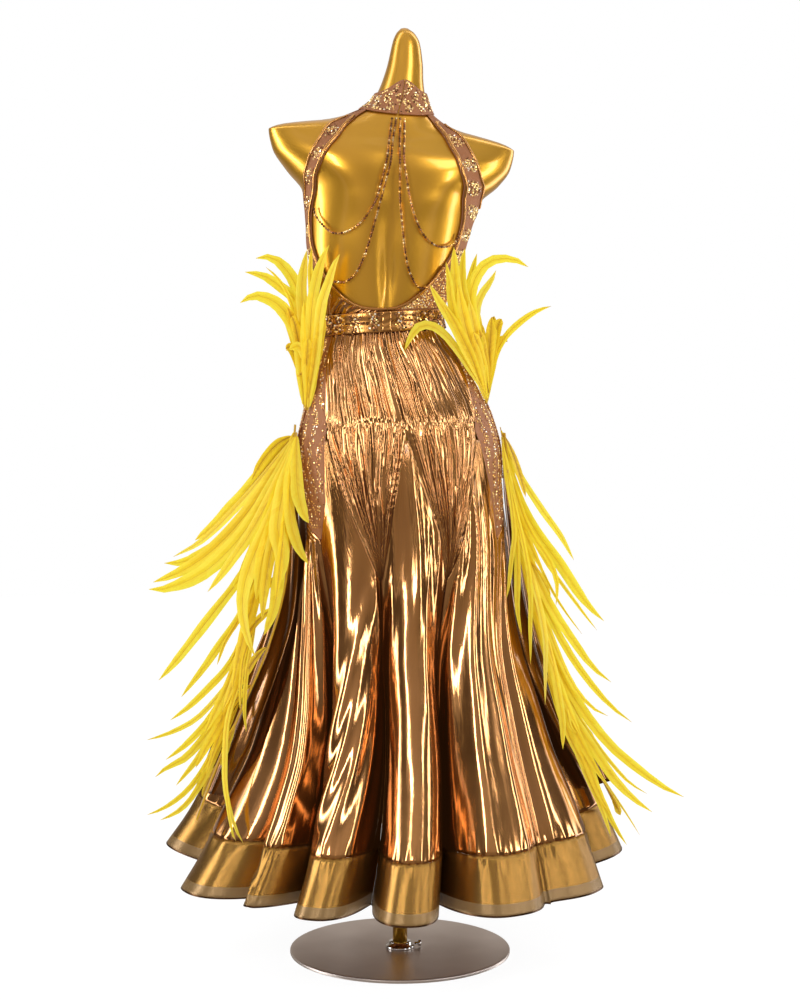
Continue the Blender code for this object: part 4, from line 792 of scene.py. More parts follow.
def form_finish():
    """Sprayed gold lacquer with a faint unevenness."""
    finish = Finish("gold form")
    slow = finish.noise(finish.place, (7.0, 7.0, 7.0), 3.0)
    fine = finish.noise(finish.place, (260.0, 260.0, 260.0), 2.0)
    finish.set(Base_Color=finish.mix(slow, (0.90, 0.475, 0.045), (0.78, 0.39, 0.030)),
               Metallic=0.86, Roughness=finish.maths("ADD", finish.maths("MULTIPLY", slow, 0.10),
                                                     0.25), Coat_Weight=0.70, Coat_Roughness=0.10)
    finish.bumps((slow, 0.05, 0.01), (fine, 0.06, 0.0004))
    return finish.material


def metal_finish(name, colour, roughness, ring=0.0):
    """Polished metal with faint turning marks and smears."""
    finish = Finish(name)
    smear = finish.noise(finish.place, (14.0, 14.0, 14.0), 4.0)
    scratch = finish.noise(finish.place, (90.0, 700.0, 90.0), 2.0)
    finish.set(Base_Color=finish.mix(finish.maths("MULTIPLY", smear, 0.5), colour,
                                     tuple(0.72 * c for c in colour)),
               Metallic=1.0, Roughness=finish.maths("ADD", finish.maths("MULTIPLY", smear, 0.10),
                                                    roughness))
    finish.bumps((scratch, 0.05 + ring, 0.0001))
    return finish.material


def stone_finish(name, glow):
    """Small mirrored stones, each in one of a few tones, whose glow is a painted glint."""
    finish = Finish(name)
    tone = finish.add("ShaderNodeAttribute", attribute_name="tone").outputs["Fac"]
    colour = finish.ramp(tone, ((0.0, (0.10, 0.045, 0.02)), (0.30, (0.42, 0.18, 0.08)),
                                (0.55, (0.84, 0.48, 0.13)), (0.80, (1.0, 0.76, 0.34)),
                                (1.0, (1.0, 0.95, 0.80))))
    glint = finish.noise(finish.place, (1500.0, 1500.0, 1500.0), 1.0)
    finish.set(Base_Color=colour, Metallic=0.85, Emission_Color=colour, Emission_Strength=glow,
               Roughness=finish.maths("ADD", finish.maths("MULTIPLY", glint, 0.10), 0.04))
    return finish.material


SHEER_HEIGHT = 0.021
EDGE_HEIGHT = 0.003
SHEER_CLEARNESS = 0.12
ROSE = (0.80, 0.412, 0.155)
BRONZE = (0.54, 0.240, 0.078)
LAME = lame_finish("rose gold lame", ROSE, BRONZE, 0.14, 1.0)
BELT_LAME = lame_finish("belt lame", (0.88, 0.44, 0.12), (0.68, 0.31, 0.08), 0.24, 0.8)
DARK_LAME = lame_finish("dark lame", (0.42, 0.20, 0.07), (0.24, 0.10, 0.03), 0.22, 1.4)
STONED = mesh_finish("stoned mesh", (0.45, 0.165, 0.052), (0.31, 0.105, 0.032))
HEM = hem_finish()
FEATHER = feather_finish()
GOLD = form_finish()
STEEL = metal_finish("polished steel", (0.84, 0.75, 0.70), 0.36)
CHROME = metal_finish("chrome", (0.86, 0.86, 0.87), 0.06, 0.05)
# the rhinestones' glow is a painted glint; the beads have none
STONES = stone_finish("rhinestones", 0.26)
BEADS = stone_finish("bronze beads", 0.0)
DRAWS = np.random.default_rng(27)


# ---------------------------------------------------------------- chains
CHAIN_PITCH = 0.0052
BEAD_RADIUS = 0.0024
CORE_RADIUS = 0.0009
CORE_SIDES = 5
BEAD_TONES = (0.10, 0.18, 0.32, 0.55, 0.85)
LINK_SIDES = 8
# radius and height of each ring of a cup and its stone, as shares of the cup's radius
CUP_RINGS = ((0.30, -0.80), (0.98, -0.45), (1.02, 0.10), (0.86, 0.32), (0.74, 0.55), (0.40, 0.92),
             (0.04, 1.0))


def place_on_back(x, height):
    """Turn and level of the point of the open back that stands at this x and height."""
    level, turn = height, 0.0
    for _ in range(6):
        row = SECTION_TABLE.at(np.array(level))
        level = float(height - row[5] * (x - row[0]))
        turn = float(np.degrees(np.arcsin(np.clip((x - row[0]) / row[2], -1.0, 1.0))))
    return turn, level


def frame_at(normal, along):
    """Two directions across a normal, the first nearest to the given one."""
    first = unit(along - normal * np.sum(along * normal, axis=-1, keepdims=True))
    return first, np.cross(normal, first)


def lathe_copies(centres, normals, first, radii, rings, sides, tones):
    """The same small turned shape at many places, as one group."""
    second = np.cross(normals, first)
    angles = (np.arange(sides) + 0.5) * 2.0 * math.pi / sides
    flat = (np.cos(angles)[None, :, None] * first[:, None, :]
            + np.sin(angles)[None, :, None] * second[:, None, :])
    points = np.stack([centres[:, None, :] + radii[:, None, None]
                       * (flat * wide + normals[:, None, :] * high) for wide, high in rings], axis=1)
    count = len(centres)
    index = np.arange(count * len(rings) * sides).reshape(count, len(rings), sides)
    wrapped = np.roll(index, -1, axis=2)
    quads = np.stack((index[:, :-1], wrapped[:, :-1], wrapped[:, 1:], index[:, 1:]), axis=-1)
    quads = quads.reshape(-1, 4)
    tones = np.repeat(tones, (len(rings) - 1) * sides)
    return points.reshape(-1, 3), quads, np.zeros((4 * len(quads), 2)), tones


def add_chains():
    """The strands of cupped stones across the open back, each a row of cups on a thin core."""
    for name, route in CHAINS:
        places = np.array([place_on_back(x, height) for x, height in route])
        path = smooth_path(dress_point(places[:, 0], places[:, 1], CHAIN_STAND_OFF), 40)
        length = float(np.sum(np.linalg.norm(np.diff(path, axis=0), axis=1)))
        spots = smooth_path(path, int(length / CHAIN_PITCH))
        turns, levels = (np.interp(np.linspace(0, 1, len(spots)), np.linspace(0, 1, len(places)),
                                   column) for column in places.T)
        normals = outward(turns, levels)
        along = unit(np.gradient(spots, axis=0))
        first, _ = frame_at(normals, along)
        tones = DRAWS.choice(BEAD_TONES, len(spots))
        beads = lathe_copies(spots, normals, first, np.full(len(spots), BEAD_RADIUS), CUP_RINGS,
                             LINK_SIDES, tones)
        core_points, core_quads = tube(path, CORE_RADIUS, CORE_SIDES)
        core = (core_points, core_quads, np.zeros((4 * len(core_quads), 2)),
                np.full(len(core_quads), 0.2))
        points, faces, _, tones = joined((beads, core))
        made = add_mesh(name + "_strand", points, faces, BEADS, tone=tones)
        made.data.shade_flat()
        piece(made, "rhinestones", name)


add_chains()


# ---------------------------------------------------------------- cloth panels
def gap_turn(turn, level):
    """Most of a seam's gap, in degrees of turn at this place."""
    across = np.linalg.norm(surface(turn + 0.05, level) - surface(turn - 0.05, level), axis=-1)
    return SEAM_SHARE * SEAM_GAP * 0.1 / np.maximum(across, 1e-6)


def panel_places(levels, left, right, shares):
    """Turn and level of a grid between two edges (functions of level), with a gap at each."""
    levels = np.asarray(levels, float)
    low, high = left(levels), right(levels)
    start = low + gap_turn(low, levels)
    end = high - gap_turn(high, levels)
    turn = start[:, None] + (end - start)[:, None] * np.asarray(shares)[None, :]
    return turn, np.broadcast_to(levels[:, None], turn.shape)


def seam_roll(shape, share_width, depth=0.0009):
    """A panel's edges turn in a little where they are sewn."""
    share = np.linspace(0.0, 1.0, shape[1])
    side = np.minimum(share, 1.0 - share) / share_width
    return -depth * np.exp(-side ** 2)[None, :] * np.ones(shape)


def edge_line(rows):
    return lambda levels: between(rows, levels)


def ridges(share, drop, lines, sharpness=1.5):
    """The highest of many ridges; each line is (places across at drops 0 to 1, width, height)."""
    relief = np.zeros(share.shape)
    knots = np.linspace(0.0, 1.0, len(lines[0][0]))
    for places, widths, heights in lines:
        middle = np.interp(drop, knots, places)
        width = np.interp(drop, knots, widths)
        height = np.interp(drop, knots, heights)
        relief = np.maximum(relief, height * np.clip(1.0 - (np.abs(share - middle) / width)
                                                      ** sharpness, 0.0, 1.0))
    return relief


def pleat_lines(count, lean, height, wobble, merges, swing=0.0):
    """Irregular pleats side by side; some die out or start part of the way down."""
    lines = []
    for k in range(count):
        middle = (k + 0.5) / count * (1.0 + swing / 2)
        drift = np.cumsum(DRAWS.normal(0.0, wobble / count, 6))
        places = middle + drift + (lean + swing * middle) * np.linspace(-0.5, 0.5, 6)
        widths = DRAWS.uniform(0.36, 0.74) / count * (1.0 + DRAWS.normal(0.0, 0.12, 6))
        heights = height * DRAWS.uniform(0.55, 1.15) * (1.0 + DRAWS.normal(0.0, 0.15, 6))
        if DRAWS.random() < merges:
            stop = DRAWS.integers(2, 5)
            fading = np.clip((stop - np.arange(6)) / 1.5, 0.0, 1.0)
            heights = heights * (fading if DRAWS.random() < 0.5 else fading[::-1])
        lines.append((places, widths, np.maximum(heights, 1e-5)))
    return lines


def crinkle(turn, level, size, seed):
    """A soft uneven pucker, as a sum of waves in fixed directions."""
    draws = np.random.default_rng(seed)
    total = np.zeros(turn.shape)
    for _ in range(7):
        fx, fy = draws.uniform(0.7, 1.9, 2)
        total += np.sin(turn * fx / size * 4.0 + draws.uniform(0, 6.28)
                        + level * fy / size * 300.0 * draws.choice((-1, 1)))
    return total / 7.0


def add_panel(name, levels, left, right, shares, relief, finish, slot, nodes, thick=None,
              out=0.0):
    """A cloth panel with a relief given as relief(share, drop, turn, level) in metres."""
    turn, level = panel_places(levels, left, right, shares)
    share = np.broadcast_to(np.asarray(shares)[None, :], turn.shape)
    drop = (levels[-1] - level) / (levels[-1] - levels[0])
    lift = out + relief(share, drop, turn, level)
    made = grid_mesh(name, dress_point(turn, level, lift), finish)
    if thick:
        wall(made, thick)
    return piece(made, slot, *nodes)


def even(count):
    return np.linspace(0.0, 1.0, count + 1)


def gathers(turn, level, pitch, seed):
    """Short upright puckers either side of a gathered seam, uneven in length and height."""
    phase = turn / pitch + 0.9 * np.sin(turn / pitch * 0.31 + seed)
    height = 0.6 + 0.4 * np.sin(turn / pitch * 0.83 + 2.0 * seed)
    return height * (0.5 + 0.5 * np.sin(phase * 2.0 * math.pi)) * (
        0.85 + 0.15 * np.sin(level * 260.0 + turn / pitch))


def add_yoke(name, left, right, count, columns, node, swing):
    """Fine ridged pleats from the waist to the puckered seam round the hips."""
    levels = np.concatenate((np.linspace(YOKE_BOTTOM + SEAM_GAP / 2, YOKE_BOTTOM + 0.02, 22),
                             np.linspace(YOKE_BOTTOM + 0.02, WAIST - SEAM_GAP, 66)[1:]))
    lines = pleat_lines(count, 0.0, YOKE_PLEAT, 0.40, 0.45, swing)
    fine = pleat_lines(int(count * 1.5), 0.01, YOKE_PLEAT * 0.40, 0.30, 0.45, swing)

    def relief(share, drop, turn, level):
        body = np.maximum(ridges(share, drop, lines, 1.25), ridges(share, drop, fine, 1.15))
        pucker = YOKE_PUCKER * gathers(turn, level, 2.1, 1.0) * bump(level, YOKE_BOTTOM, 0.008)
        slack = 0.0003 * crinkle(turn, level, 9.0, 5)
        fade = 0.45 + 0.55 * ease((1.0 - np.abs(2.0 * share - 1.0)) * 14.0)
        near = ease((level - YOKE_BOTTOM) / 0.012)
        return body * fade * (0.35 + 0.65 * near) + pucker + slack * near

    return add_panel(name, levels, left, right, even(columns), relief, LAME, "lame", (node,))


SEAM_PUCKER = 0.0012     # height of the gathers below the seam round the hips
YOKE_PUCKER = 0.0008     # and above it
YOKE_PLEAT = 0.0042
add_yoke("pleated_yoke_back", edge_line(LEAF_LEFT_BACK), edge_line(LEAF_RIGHT_BACK), 40, 450,
         "yoke_back", 0.26)
add_yoke("pleated_yoke_front", edge_line(LEAF_RIGHT_FRONT),
         lambda levels: between(LEAF_LEFT_FRONT, levels) + 360.0, 22, 210, "yoke_front", 0.0)


def add_point(name, edges, count, columns, node, seed):
    """A pleated point below the yoke; its pleats run together towards the tip."""
    left, right = edges
    levels = np.concatenate((np.linspace(VALLEY_TIP, YOKE_BOTTOM - 0.02, 104),
                             np.linspace(YOKE_BOTTOM - 0.02, YOKE_BOTTOM - SEAM_GAP / 2, 20)[1:]))
    lines = pleat_lines(count, 0.05, POINT_PLEAT, 0.55, 0.50)
    fine = pleat_lines(int(count * 2.1), -0.04, POINT_PLEAT * 0.55, 0.4, 0.45)

    def relief(share, drop, turn, level):
        body = np.maximum(ridges(share, drop, lines, 1.25), ridges(share, drop, fine, 1.15))
        narrow = 0.22 + 0.78 * ease((1.0 - drop) / 0.50)
        pucker = SEAM_PUCKER * gathers(turn, level, 1.55, 1.0) * bump(level, YOKE_BOTTOM, 0.013)
        slack = 0.0006 * crinkle(turn, level, 8.0, seed) * ease((1.0 - drop) / 0.3)
        side = (1.0 - np.abs(2.0 * share - 1.0)) * 6.0
        rope = EDGE_ROPE * np.sin(level * 520.0 + 2.0 * np.sin(level * 71.0 + seed)) * np.exp(
            -(side - 0.5) ** 2 * 3.0)
        edge = ease(side)
        near = ease((YOKE_BOTTOM - level) / 0.012)
        return (body * narrow * (0.3 + 0.7 * edge) * (0.35 + 0.65 * near) + pucker + slack * near
                + rope * narrow - 0.0010 * (1.0 - edge))

    return add_panel(name, levels, edge_line(left), edge_line(right), even(columns), relief, LAME,
                     "lame", (node,))


POINT_PLEAT = 0.0042
EDGE_ROPE = 0.0004       # slanting wrinkles along the seams of a pleated point
for place, edges, count, columns, seed in (("back_left", POINT_BACK_LEFT, 16, 190, 11),
                                           ("back_right", POINT_BACK_RIGHT, 16, 190, 12),
                                           ("front_right", POINT_FRONT_RIGHT, 12, 96, 13),
                                           ("front_left", POINT_FRONT_LEFT, 12, 96, 14)):
    add_point("pleated_point_" + place, edges, count, columns, "point_" + place, seed)


# ---------------------------------------------------------------- skirt
# Soft ridges (height above 0) and troughs on each flute: place across at the top and at the
# bottom (-1 to 1), level of its top and bottom, width as a share of the flute, height in metres.
FLUTE_FOLDS = {
    0: ((0.80, -0.72, 0.69, 0.29, 0.15, 0.014), (0.86, -0.38, 0.68, 0.27, 0.10, 0.011),
        (0.88, -0.06, 0.67, 0.25, 0.11, 0.012), (0.90, 0.28, 0.66, 0.24, 0.09, 0.010),
        (0.92, 0.62, 0.64, 0.24, 0.10, 0.009)),
    1: ((-0.55, -0.60, 0.90, 0.24, 0.10, 0.004), (-0.08, 0.10, 0.93, 0.62, 0.13, 0.010),
        (0.30, 0.24, 0.78, 0.45, 0.08, 0.004), (0.58, 0.62, 0.90, 0.24, 0.09, 0.006),
        (0.05, 0.02, 0.42, 0.24, 0.16, 0.007)),
    2: ((-0.60, -0.70, 0.82, 0.235, 0.13, 0.010), (-0.18, -0.24, 0.84, 0.235, 0.12, 0.011),
        (0.22, 0.20, 0.80, 0.235, 0.12, 0.010), (0.62, 0.64, 0.76, 0.235, 0.12, 0.010)),
    3: ((-0.40, -0.46, 0.74, 0.235, 0.16, 0.010), (0.30, 0.34, 0.68, 0.235, 0.16, 0.009)),
    10: ((-0.55, -0.60, 0.56, 0.235, 0.14, 0.008), (0.0, 0.1, 0.52, 0.235, 0.16, 0.010),
         (0.5, 0.6, 0.46, 0.235, 0.12, 0.008)),
    11: ((-0.50, -0.62, 0.68, 0.235, 0.12, 0.010), (-0.10, -0.12, 0.66, 0.235, 0.13, 0.011),
         (0.40, 0.48, 0.66, 0.235, 0.12, 0.009)),
    12: ((-0.55, -0.66, 0.76, 0.235, 0.10, 0.010), (-0.16, -0.20, 0.74, 0.235, 0.10, 0.011),
         (0.22, 0.20, 0.74, 0.235, 0.09, 0.010), (0.58, 0.60, 0.72, 0.235, 0.10, 0.009)),
}
BACK_FLUTES = (0, 1, 2, 3, 10, 11, 12)


def hidden_folds():
    """Folds like those of the back for the flutes at the front and sides."""
    for flute in range(len(FLUTES)):
        if flute in FLUTE_FOLDS:
            continue
        rows = []
        for place in (-0.5, 0.0, 0.5):
            top = place + DRAWS.normal(0.0, 0.10)
            rows.append((top, top + DRAWS.normal(0.0, 0.10), DRAWS.uniform(0.60, 0.78), BAND_TOP,
                         DRAWS.uniform(0.12, 0.24), DRAWS.uniform(0.003, 0.006)))
        FLUTE_FOLDS[flute] = tuple(rows)


hidden_folds()


FOLD_SHARE = 0.50


def skirt_relief(turn, level):
    """All the folds of the skirt, the slack waves along it and the pucker over the hem's seam."""
    flute, across, _, _, _ = flute_at(turn)
    relief = np.zeros(np.shape(turn))
    for number, rows in FLUTE_FOLDS.items():
        for top, low, start, end, width, height in rows:
            middle = np.interp(level, (min(end, start), max(end, start)), (low, top))
            fade = ease((start + 0.05 - level) / 0.12) * ease((level - end + 0.06) / 0.10)
            fold = FOLD_SHARE * height * bump(across, middle, width) * fade
            relief = relief + np.where(flute == number, fold, 0.0)
    inside = 1.0 - np.abs(across)
    relief = relief * ease(inside / 0.18)
    slack = 0.0007 * np.sin(across * 5.0 + level * 9.0 + flute * 1.7)
    slack += 0.0003 * np.sin(across * 7.0 - level * 31.0 + flute * 2.9)
    relief += slack * ease((0.72 - level) / 0.2) * ease(inside / 0.3)
    pucker = 0.0012 * np.sin(turn * 2.9 + 1.3 * np.sin(turn * 0.37)) * bump(level, BAND_TOP, 0.022)
    pucker += 0.0006 * np.sin(turn * 6.7 + 2.0 * np.sin(turn * 0.23)) * bump(level, BAND_TOP, 0.010)
    return relief + pucker - 0.0005 * bump(level, BAND_TOP, 0.0025)


GODETS = (
    # name, seam turns below the points, left edge, right edge
    ("back_centre", -18.4, 24.1, POINT_BACK_LEFT[1], POINT_BACK_RIGHT[0]),
    ("back_right", 24.1, 60.0, POINT_BACK_RIGHT[1], LEAF_RIGHT_BACK),
    ("side_right", 60.0, 150.0, LEAF_RIGHT_FRONT, POINT_FRONT_RIGHT[0]),
    ("front_centre", 150.0, 210.0, POINT_FRONT_RIGHT[1], POINT_FRONT_LEFT[0]),
    ("side_left", 210.0, 300.0, POINT_FRONT_LEFT[1], LEAF_LEFT_FRONT),
    ("back_left", -60.0, -18.4, LEAF_LEFT_BACK, POINT_BACK_LEFT[0]),
)
BACK_COLUMNS = 60
SIDE_COLUMNS = 26
FINE_TOP = 0.300         # below this level the rows of the godets lie closer
FLUTE_STARTS = [row[0] for row in FLUTES]


def godet_edge(edge, seam):
    """Turn of a godet's edge: along its neighbour's edge, then straight down the seam."""
    end_level = edge[-1][0]
    whole_turns = 360.0 * round((seam - edge[-1][1]) / 360.0)

    def turn(levels):
        return np.where(levels > end_level - 1e-6, between(edge, levels) + whole_turns, seam)
    return turn


def flute_shares(start, end):
    """Shares of the way from one seam to another, with more columns to the flutes of the back."""
    marks = [start]
    for turn in FLUTE_STARTS + [FLUTE_STARTS[0] + 360.0]:
        if start + 1.0 < turn < end - 1.0:
            marks.append(turn)
    marks.append(end)
    shares = []
    for first, last in zip(marks, marks[1:]):
        middle = ((first + last) / 2.0 + 60.0) % 360.0 - 60.0
        flute = sum(middle > turn for turn in FLUTE_STARTS) - 1
        columns = BACK_COLUMNS if flute in BACK_FLUTES else SIDE_COLUMNS
        shares += [(first + (last - first) * i / columns - start) / (end - start)
                   for i in range(columns)]
    return np.array(shares + [1.0])


def add_skirt():
    """The godets and, below each, its part of the stiffened band."""
    for name, start, end, left, right in GODETS:
        shares = flute_shares(start, end)
        left_edge, right_edge = godet_edge(left, start), godet_edge(right, end)
        levels = np.concatenate((np.linspace(BAND_TOP + SEAM_GAP / 2, FINE_TOP, 13),
                                 np.linspace(FINE_TOP, SKIRT_TOP, 78)[1:]))

        def relief(share, _, turn, level):
            seam = np.minimum(share, 1.0 - share) * (end - start)
            return skirt_relief(turn, level) - 0.0012 * bump(seam, 0.0, 0.35)

        add_panel("flared_panel_" + name, levels, left_edge, right_edge, shares, relief, LAME,
                  "lame", ("skirt_" + name,), WALL)
        add_panel("hem_" + name, np.linspace(HEM_LEVEL, BAND_TOP - SEAM_GAP / 2, 15), left_edge,
                  right_edge, shares, lambda share, drop, turn, level: skirt_relief(turn, level)
                  + hem_crease(turn, level), HEM, "hem_satin", ("hem_band_" + name,), WALL)


def hem_crease(turn, level):
    """The sharp crease pressed into the band of one flute at the left."""
    flute, across, _, _, _ = flute_at(turn)
    middle = np.interp(level, (HEM_LEVEL, BAND_TOP), (0.05, -0.55))
    return np.where(flute == 12, 0.004 * bump(across, middle, 0.05), 0.0)


add_skirt()


# ---------------------------------------------------------------- stoned side panels and bodice
for side, first, last in (("left", LEAF_LEFT_FRONT, LEAF_LEFT_BACK),
                          ("right", LEAF_RIGHT_BACK, LEAF_RIGHT_FRONT)):
    add_panel("stoned_side_" + side, np.linspace(LEAF_TIP, WAIST - SEAM_GAP, 70),
              edge_line(first), edge_line(last), even(36),
              lambda share, drop, turn, level: seam_roll(share.shape, 0.04), STONED,
              "stoned_mesh", ("leaf_panel_" + side,))


def collar_bottom(turn):
    """Level of the collar's lower edge, higher at the sides of the neck."""
    return COLLAR_BOTTOM + COLLAR_SIDE_RISE * np.sin(np.radians(turn)) ** 2


COLLAR_FIT_FROM = 1.450  # from here up the bodice is drawn to the collar's lower edge


def drawn_to_collar(turn, level):
    """Levels of a piece of the bodice with its top brought to the collar's lower edge."""
    top = np.clip((level - COLLAR_FIT_FROM) / (COLLAR_BOTTOM - COLLAR_FIT_FROM), 0.0, 1.0)
    return level + top * (collar_bottom(turn) - SEAM_GAP / 2 - COLLAR_BOTTOM)


def band_edges(rows, level):
    """The open back's edge and the armhole's edge of a shoulder band at each level."""
    return SmoothTable(rows).at(level)


def band_levels(rows, count):
    """Levels up a shoulder band, from just above its lowest row to its highest."""
    return np.linspace(rows[0][0] + SEAM_GAP / 2, rows[-1][0], count)


def faired(turns, levels):
    """An edge of the back with its small wobbles drawn out and its two ends kept."""
    points = surface(turns, levels)
    walk = np.concatenate(([0.0], np.cumsum(np.linalg.norm(np.diff(points, axis=0), axis=1))))
    even_walk = np.linspace(0.0, walk[-1], len(turns))
    reach = int(EDGE_FAIRING / even_walk[1])
    weights = np.exp(-np.linspace(-2.0, 2.0, 2 * reach + 1) ** 2)
    drawn = []
    for values in (points[:, 0], levels):
        values = np.interp(even_walk, walk, values)
        padded = np.concatenate((2 * values[0] - values[reach:0:-1], values,
                                 2 * values[-1] - values[-2:-reach - 2:-1]))
        drawn.append(np.convolve(padded, weights / weights.sum(), mode="valid"))
    x, level = drawn
    row = SECTION_TABLE.at(level)
    return np.degrees(np.arcsin(np.clip((x - row[0]) / row[2], -1.0, 1.0))), level


EDGE_FAIRING = 0.022     # length over which a wobble is drawn out
SIDE_SEAM_TOP = 1.295    # the bands' outer edge follows the side seam up to here


def add_shoulder_band(name, rows, node):
    """A stoned band from the lower back to the collar, between the open back and the armhole."""
    levels = band_levels(rows, 150)
    inner, outer = band_edges(rows, levels)
    side = 1.0 if outer[0] > 0.0 else -1.0
    inner_turn, inner_level = faired(inner, levels)
    outer_turn, outer_level = faired(outer, levels)
    follow = ease((outer_level - SIDE_SEAM_TOP) / 0.020)
    outer_turn = follow * outer_turn + (1.0 - follow) * band_edges(rows, outer_level)[1]
    inner_turn = inner_turn + side * gap_turn(inner_turn, inner_level)
    outer_turn = outer_turn - side * gap_turn(outer_turn, outer_level)
    share = even(26)[None, :]
    turn = inner_turn[:, None] * (1.0 - share) + outer_turn[:, None] * share
    level = inner_level[:, None] * (1.0 - share) + outer_level[:, None] * share
    if side < 0.0:
        turn, level = turn[:, ::-1], level[:, ::-1]
    level = drawn_to_collar(turn, level)
    lift = seam_roll(turn.shape, 0.08, 0.0006) + 0.0004 * crinkle(turn, level, 14.0, 8)
    made = grid_mesh(name, dress_point(turn, level, lift), STONED)
    return piece(wall(made, WALL), "stoned_mesh", node)


add_shoulder_band("stoned_shoulder_left", BAND_LEFT, "shoulder_band_left")
add_shoulder_band("stoned_shoulder_right", BAND_RIGHT, "shoulder_band_right")


def piping(name, turn, level, width, nodes=(), lift=0.0018, thick=0.0016):
    """A narrow folded binding along a line of turns and levels: an oval tube laid on the cloth."""
    middle = dress_point(turn, level, lift)
    normal = outward(turn, level)
    along = unit(np.gradient(middle, axis=0))
    side = unit(np.cross(along, normal))
    angles = np.arange(10) * 2.0 * math.pi / 10
    rings = (middle[:, None, :] + np.cos(angles)[None, :, None] * side[:, None, :] * width / 2
             + np.sin(angles)[None, :, None] * normal[:, None, :] * thick)
    made = grid_mesh(name, rings, BELT_LAME, closed=True)
    return piece(made, "lame", *nodes)


def degrees_per_metre(turn, level):
    """Degrees of turn to a metre along the cloth at these places."""
    return 0.1 / np.linalg.norm(surface(turn + 0.05, level) - surface(turn - 0.05, level), axis=-1)


def add_bindings(name, rows, side, node):
    levels = band_levels(rows, 150)
    inner, outer = band_edges(rows, levels)
    inner_turn, inner_level = faired(inner, levels)
    used = inner_level < rows[-2][0]
    turn, level = inner_turn[used], inner_level[used]
    per_metre = degrees_per_metre(turn, level)
    piping(name + "_inner", turn + side * per_metre * (BINDING_INSET + BINDING_WIDTH / 2), level,
           BINDING_WIDTH, (node,))
    outer_turn, outer_level = faired(outer, levels)
    used = (outer_level > SIDE_SEAM_TOP + 0.015) & (outer_level < rows[-2][0])
    turn, level = outer_turn[used], outer_level[used]
    per_metre = degrees_per_metre(turn, level)
    piping(name + "_armhole", turn - side * per_metre * ARMHOLE_INSET, level, ARMHOLE_WIDTH,
           lift=ARMHOLE_LIFT)


add_bindings("bound_edge_left", BAND_LEFT, -1.0, "binding_left")
add_bindings("bound_edge_right", BAND_RIGHT, 1.0, "binding_right")


def add_lower_back(name, edge, columns, node, finish, slot, relief):
    """The piece between the belt and the open back's lower edge."""
    first, last = edge[0][0], edge[-1][0]
    turns = np.linspace(first + gap_turn(first, 1.13), last - gap_turn(last, 1.13), columns)
    table = SmoothTable([(turn, level) for turn, level in edge])
    tops = table.at(turns)[0] - SEAM_GAP / 2
    rise = np.linspace(0.0, 1.0, 44)[:, None]
    level = (WAIST + SEAM_GAP) + (tops - WAIST - SEAM_GAP)[None, :] * rise
    turn = np.broadcast_to(turns[None, :], level.shape)
    lift = relief(np.broadcast_to(even(columns - 1)[None, :], level.shape), 1.0 - rise + 0 * level,
                  turn, level)
    made = grid_mesh(name, dress_point(turn, level, lift), finish)
    return piece(wall(made, WALL), slot, node)


LOW_PLEATS = pleat_lines(20, -0.30, 0.0030, 0.2, 0.2)
add_lower_back(
    "pleated_back_left", LOW_BACK_LEFT, 180, "lower_back_left", LAME, "lame",
    lambda share, drop, turn, level: ridges(share, drop, LOW_PLEATS, 1.4)
    * (0.3 + 0.7 * ease(drop / 0.15)))
add_lower_back(
    "stoned_back_right", LOW_BACK_RIGHT, 90, "lower_back_right", STONED, "stoned_mesh",
    lambda share, drop, turn, level: seam_roll(share.shape, 0.03, 0.0005))
for side, edge in (("left", LOW_BACK_LEFT), ("right", LOW_BACK_RIGHT)):
    turns = np.linspace(edge[0][0] + (28.0 if side == "left" else 0.0),
                        edge[-1][0] - (43.0 if side == "right" else 0.0), 90)
    piping("bound_low_edge_" + side, turns, SmoothTable(edge).at(turns)[0] - LOW_EDGE_INSET,
           LOW_EDGE_WIDTH, lift=LOW_EDGE_LIFT)


def add_front():
    """The stoned front of the bodice, from the waist to the collar and armhole to armhole."""
    levels = np.linspace(WAIST + SEAM_GAP, COLLAR_BOTTOM, 66)
    reach = between(FRONT_ARMHOLE, levels)
    low, high = 180.0 - reach, 180.0 + reach
    start, end = low + gap_turn(low, levels), high - gap_turn(high, levels)
    turn = start[:, None] + (end - start)[:, None] * even(52)[None, :]
    level = np.broadcast_to(levels[:, None], turn.shape)
    level = drawn_to_collar(turn, level)
    lift = FRONT_LIFT * ease((level - BODICE_JOIN) / 0.02) + seam_roll(turn.shape, 0.02, 0.0004)
    made = grid_mesh("stoned_front", dress_point(turn, level, lift), STONED)
    return piece(wall(made, WALL), "stoned_mesh", "bodice_front")


add_front()


def collar_top(turn):
    """Level of the collar's upper edge, which rises to a peak at the centre back."""
    return COLLAR_TOP + COLLAR_PEAK * np.maximum(0.0, np.cos(np.radians(turn))) ** 6


def add_collar():
    """The stand collar, open down the centre back, where its top edge rises to a peak."""
    turn = np.linspace(COLLAR_OPENING, 360.0 - COLLAR_OPENING, 150)[None, :]
    bottom = collar_bottom(turn) + SEAM_GAP / 2
    top = collar_top(turn)
    level = bottom + (top - bottom) * np.linspace(0.0, 1.0, 26)[:, None]
    turn = np.broadcast_to(turn, level.shape)
    made = grid_mesh("stand_collar", dress_point(turn, level, COLLAR_STAND_OFF), STONED)
    return piece(wall(made, COLLAR_WALL), "stoned_mesh", "collar")


add_collar()


# ---------------------------------------------------------------- belt
BELT_MIDDLE = (BELT_BOTTOM + BELT_TOP) / 2
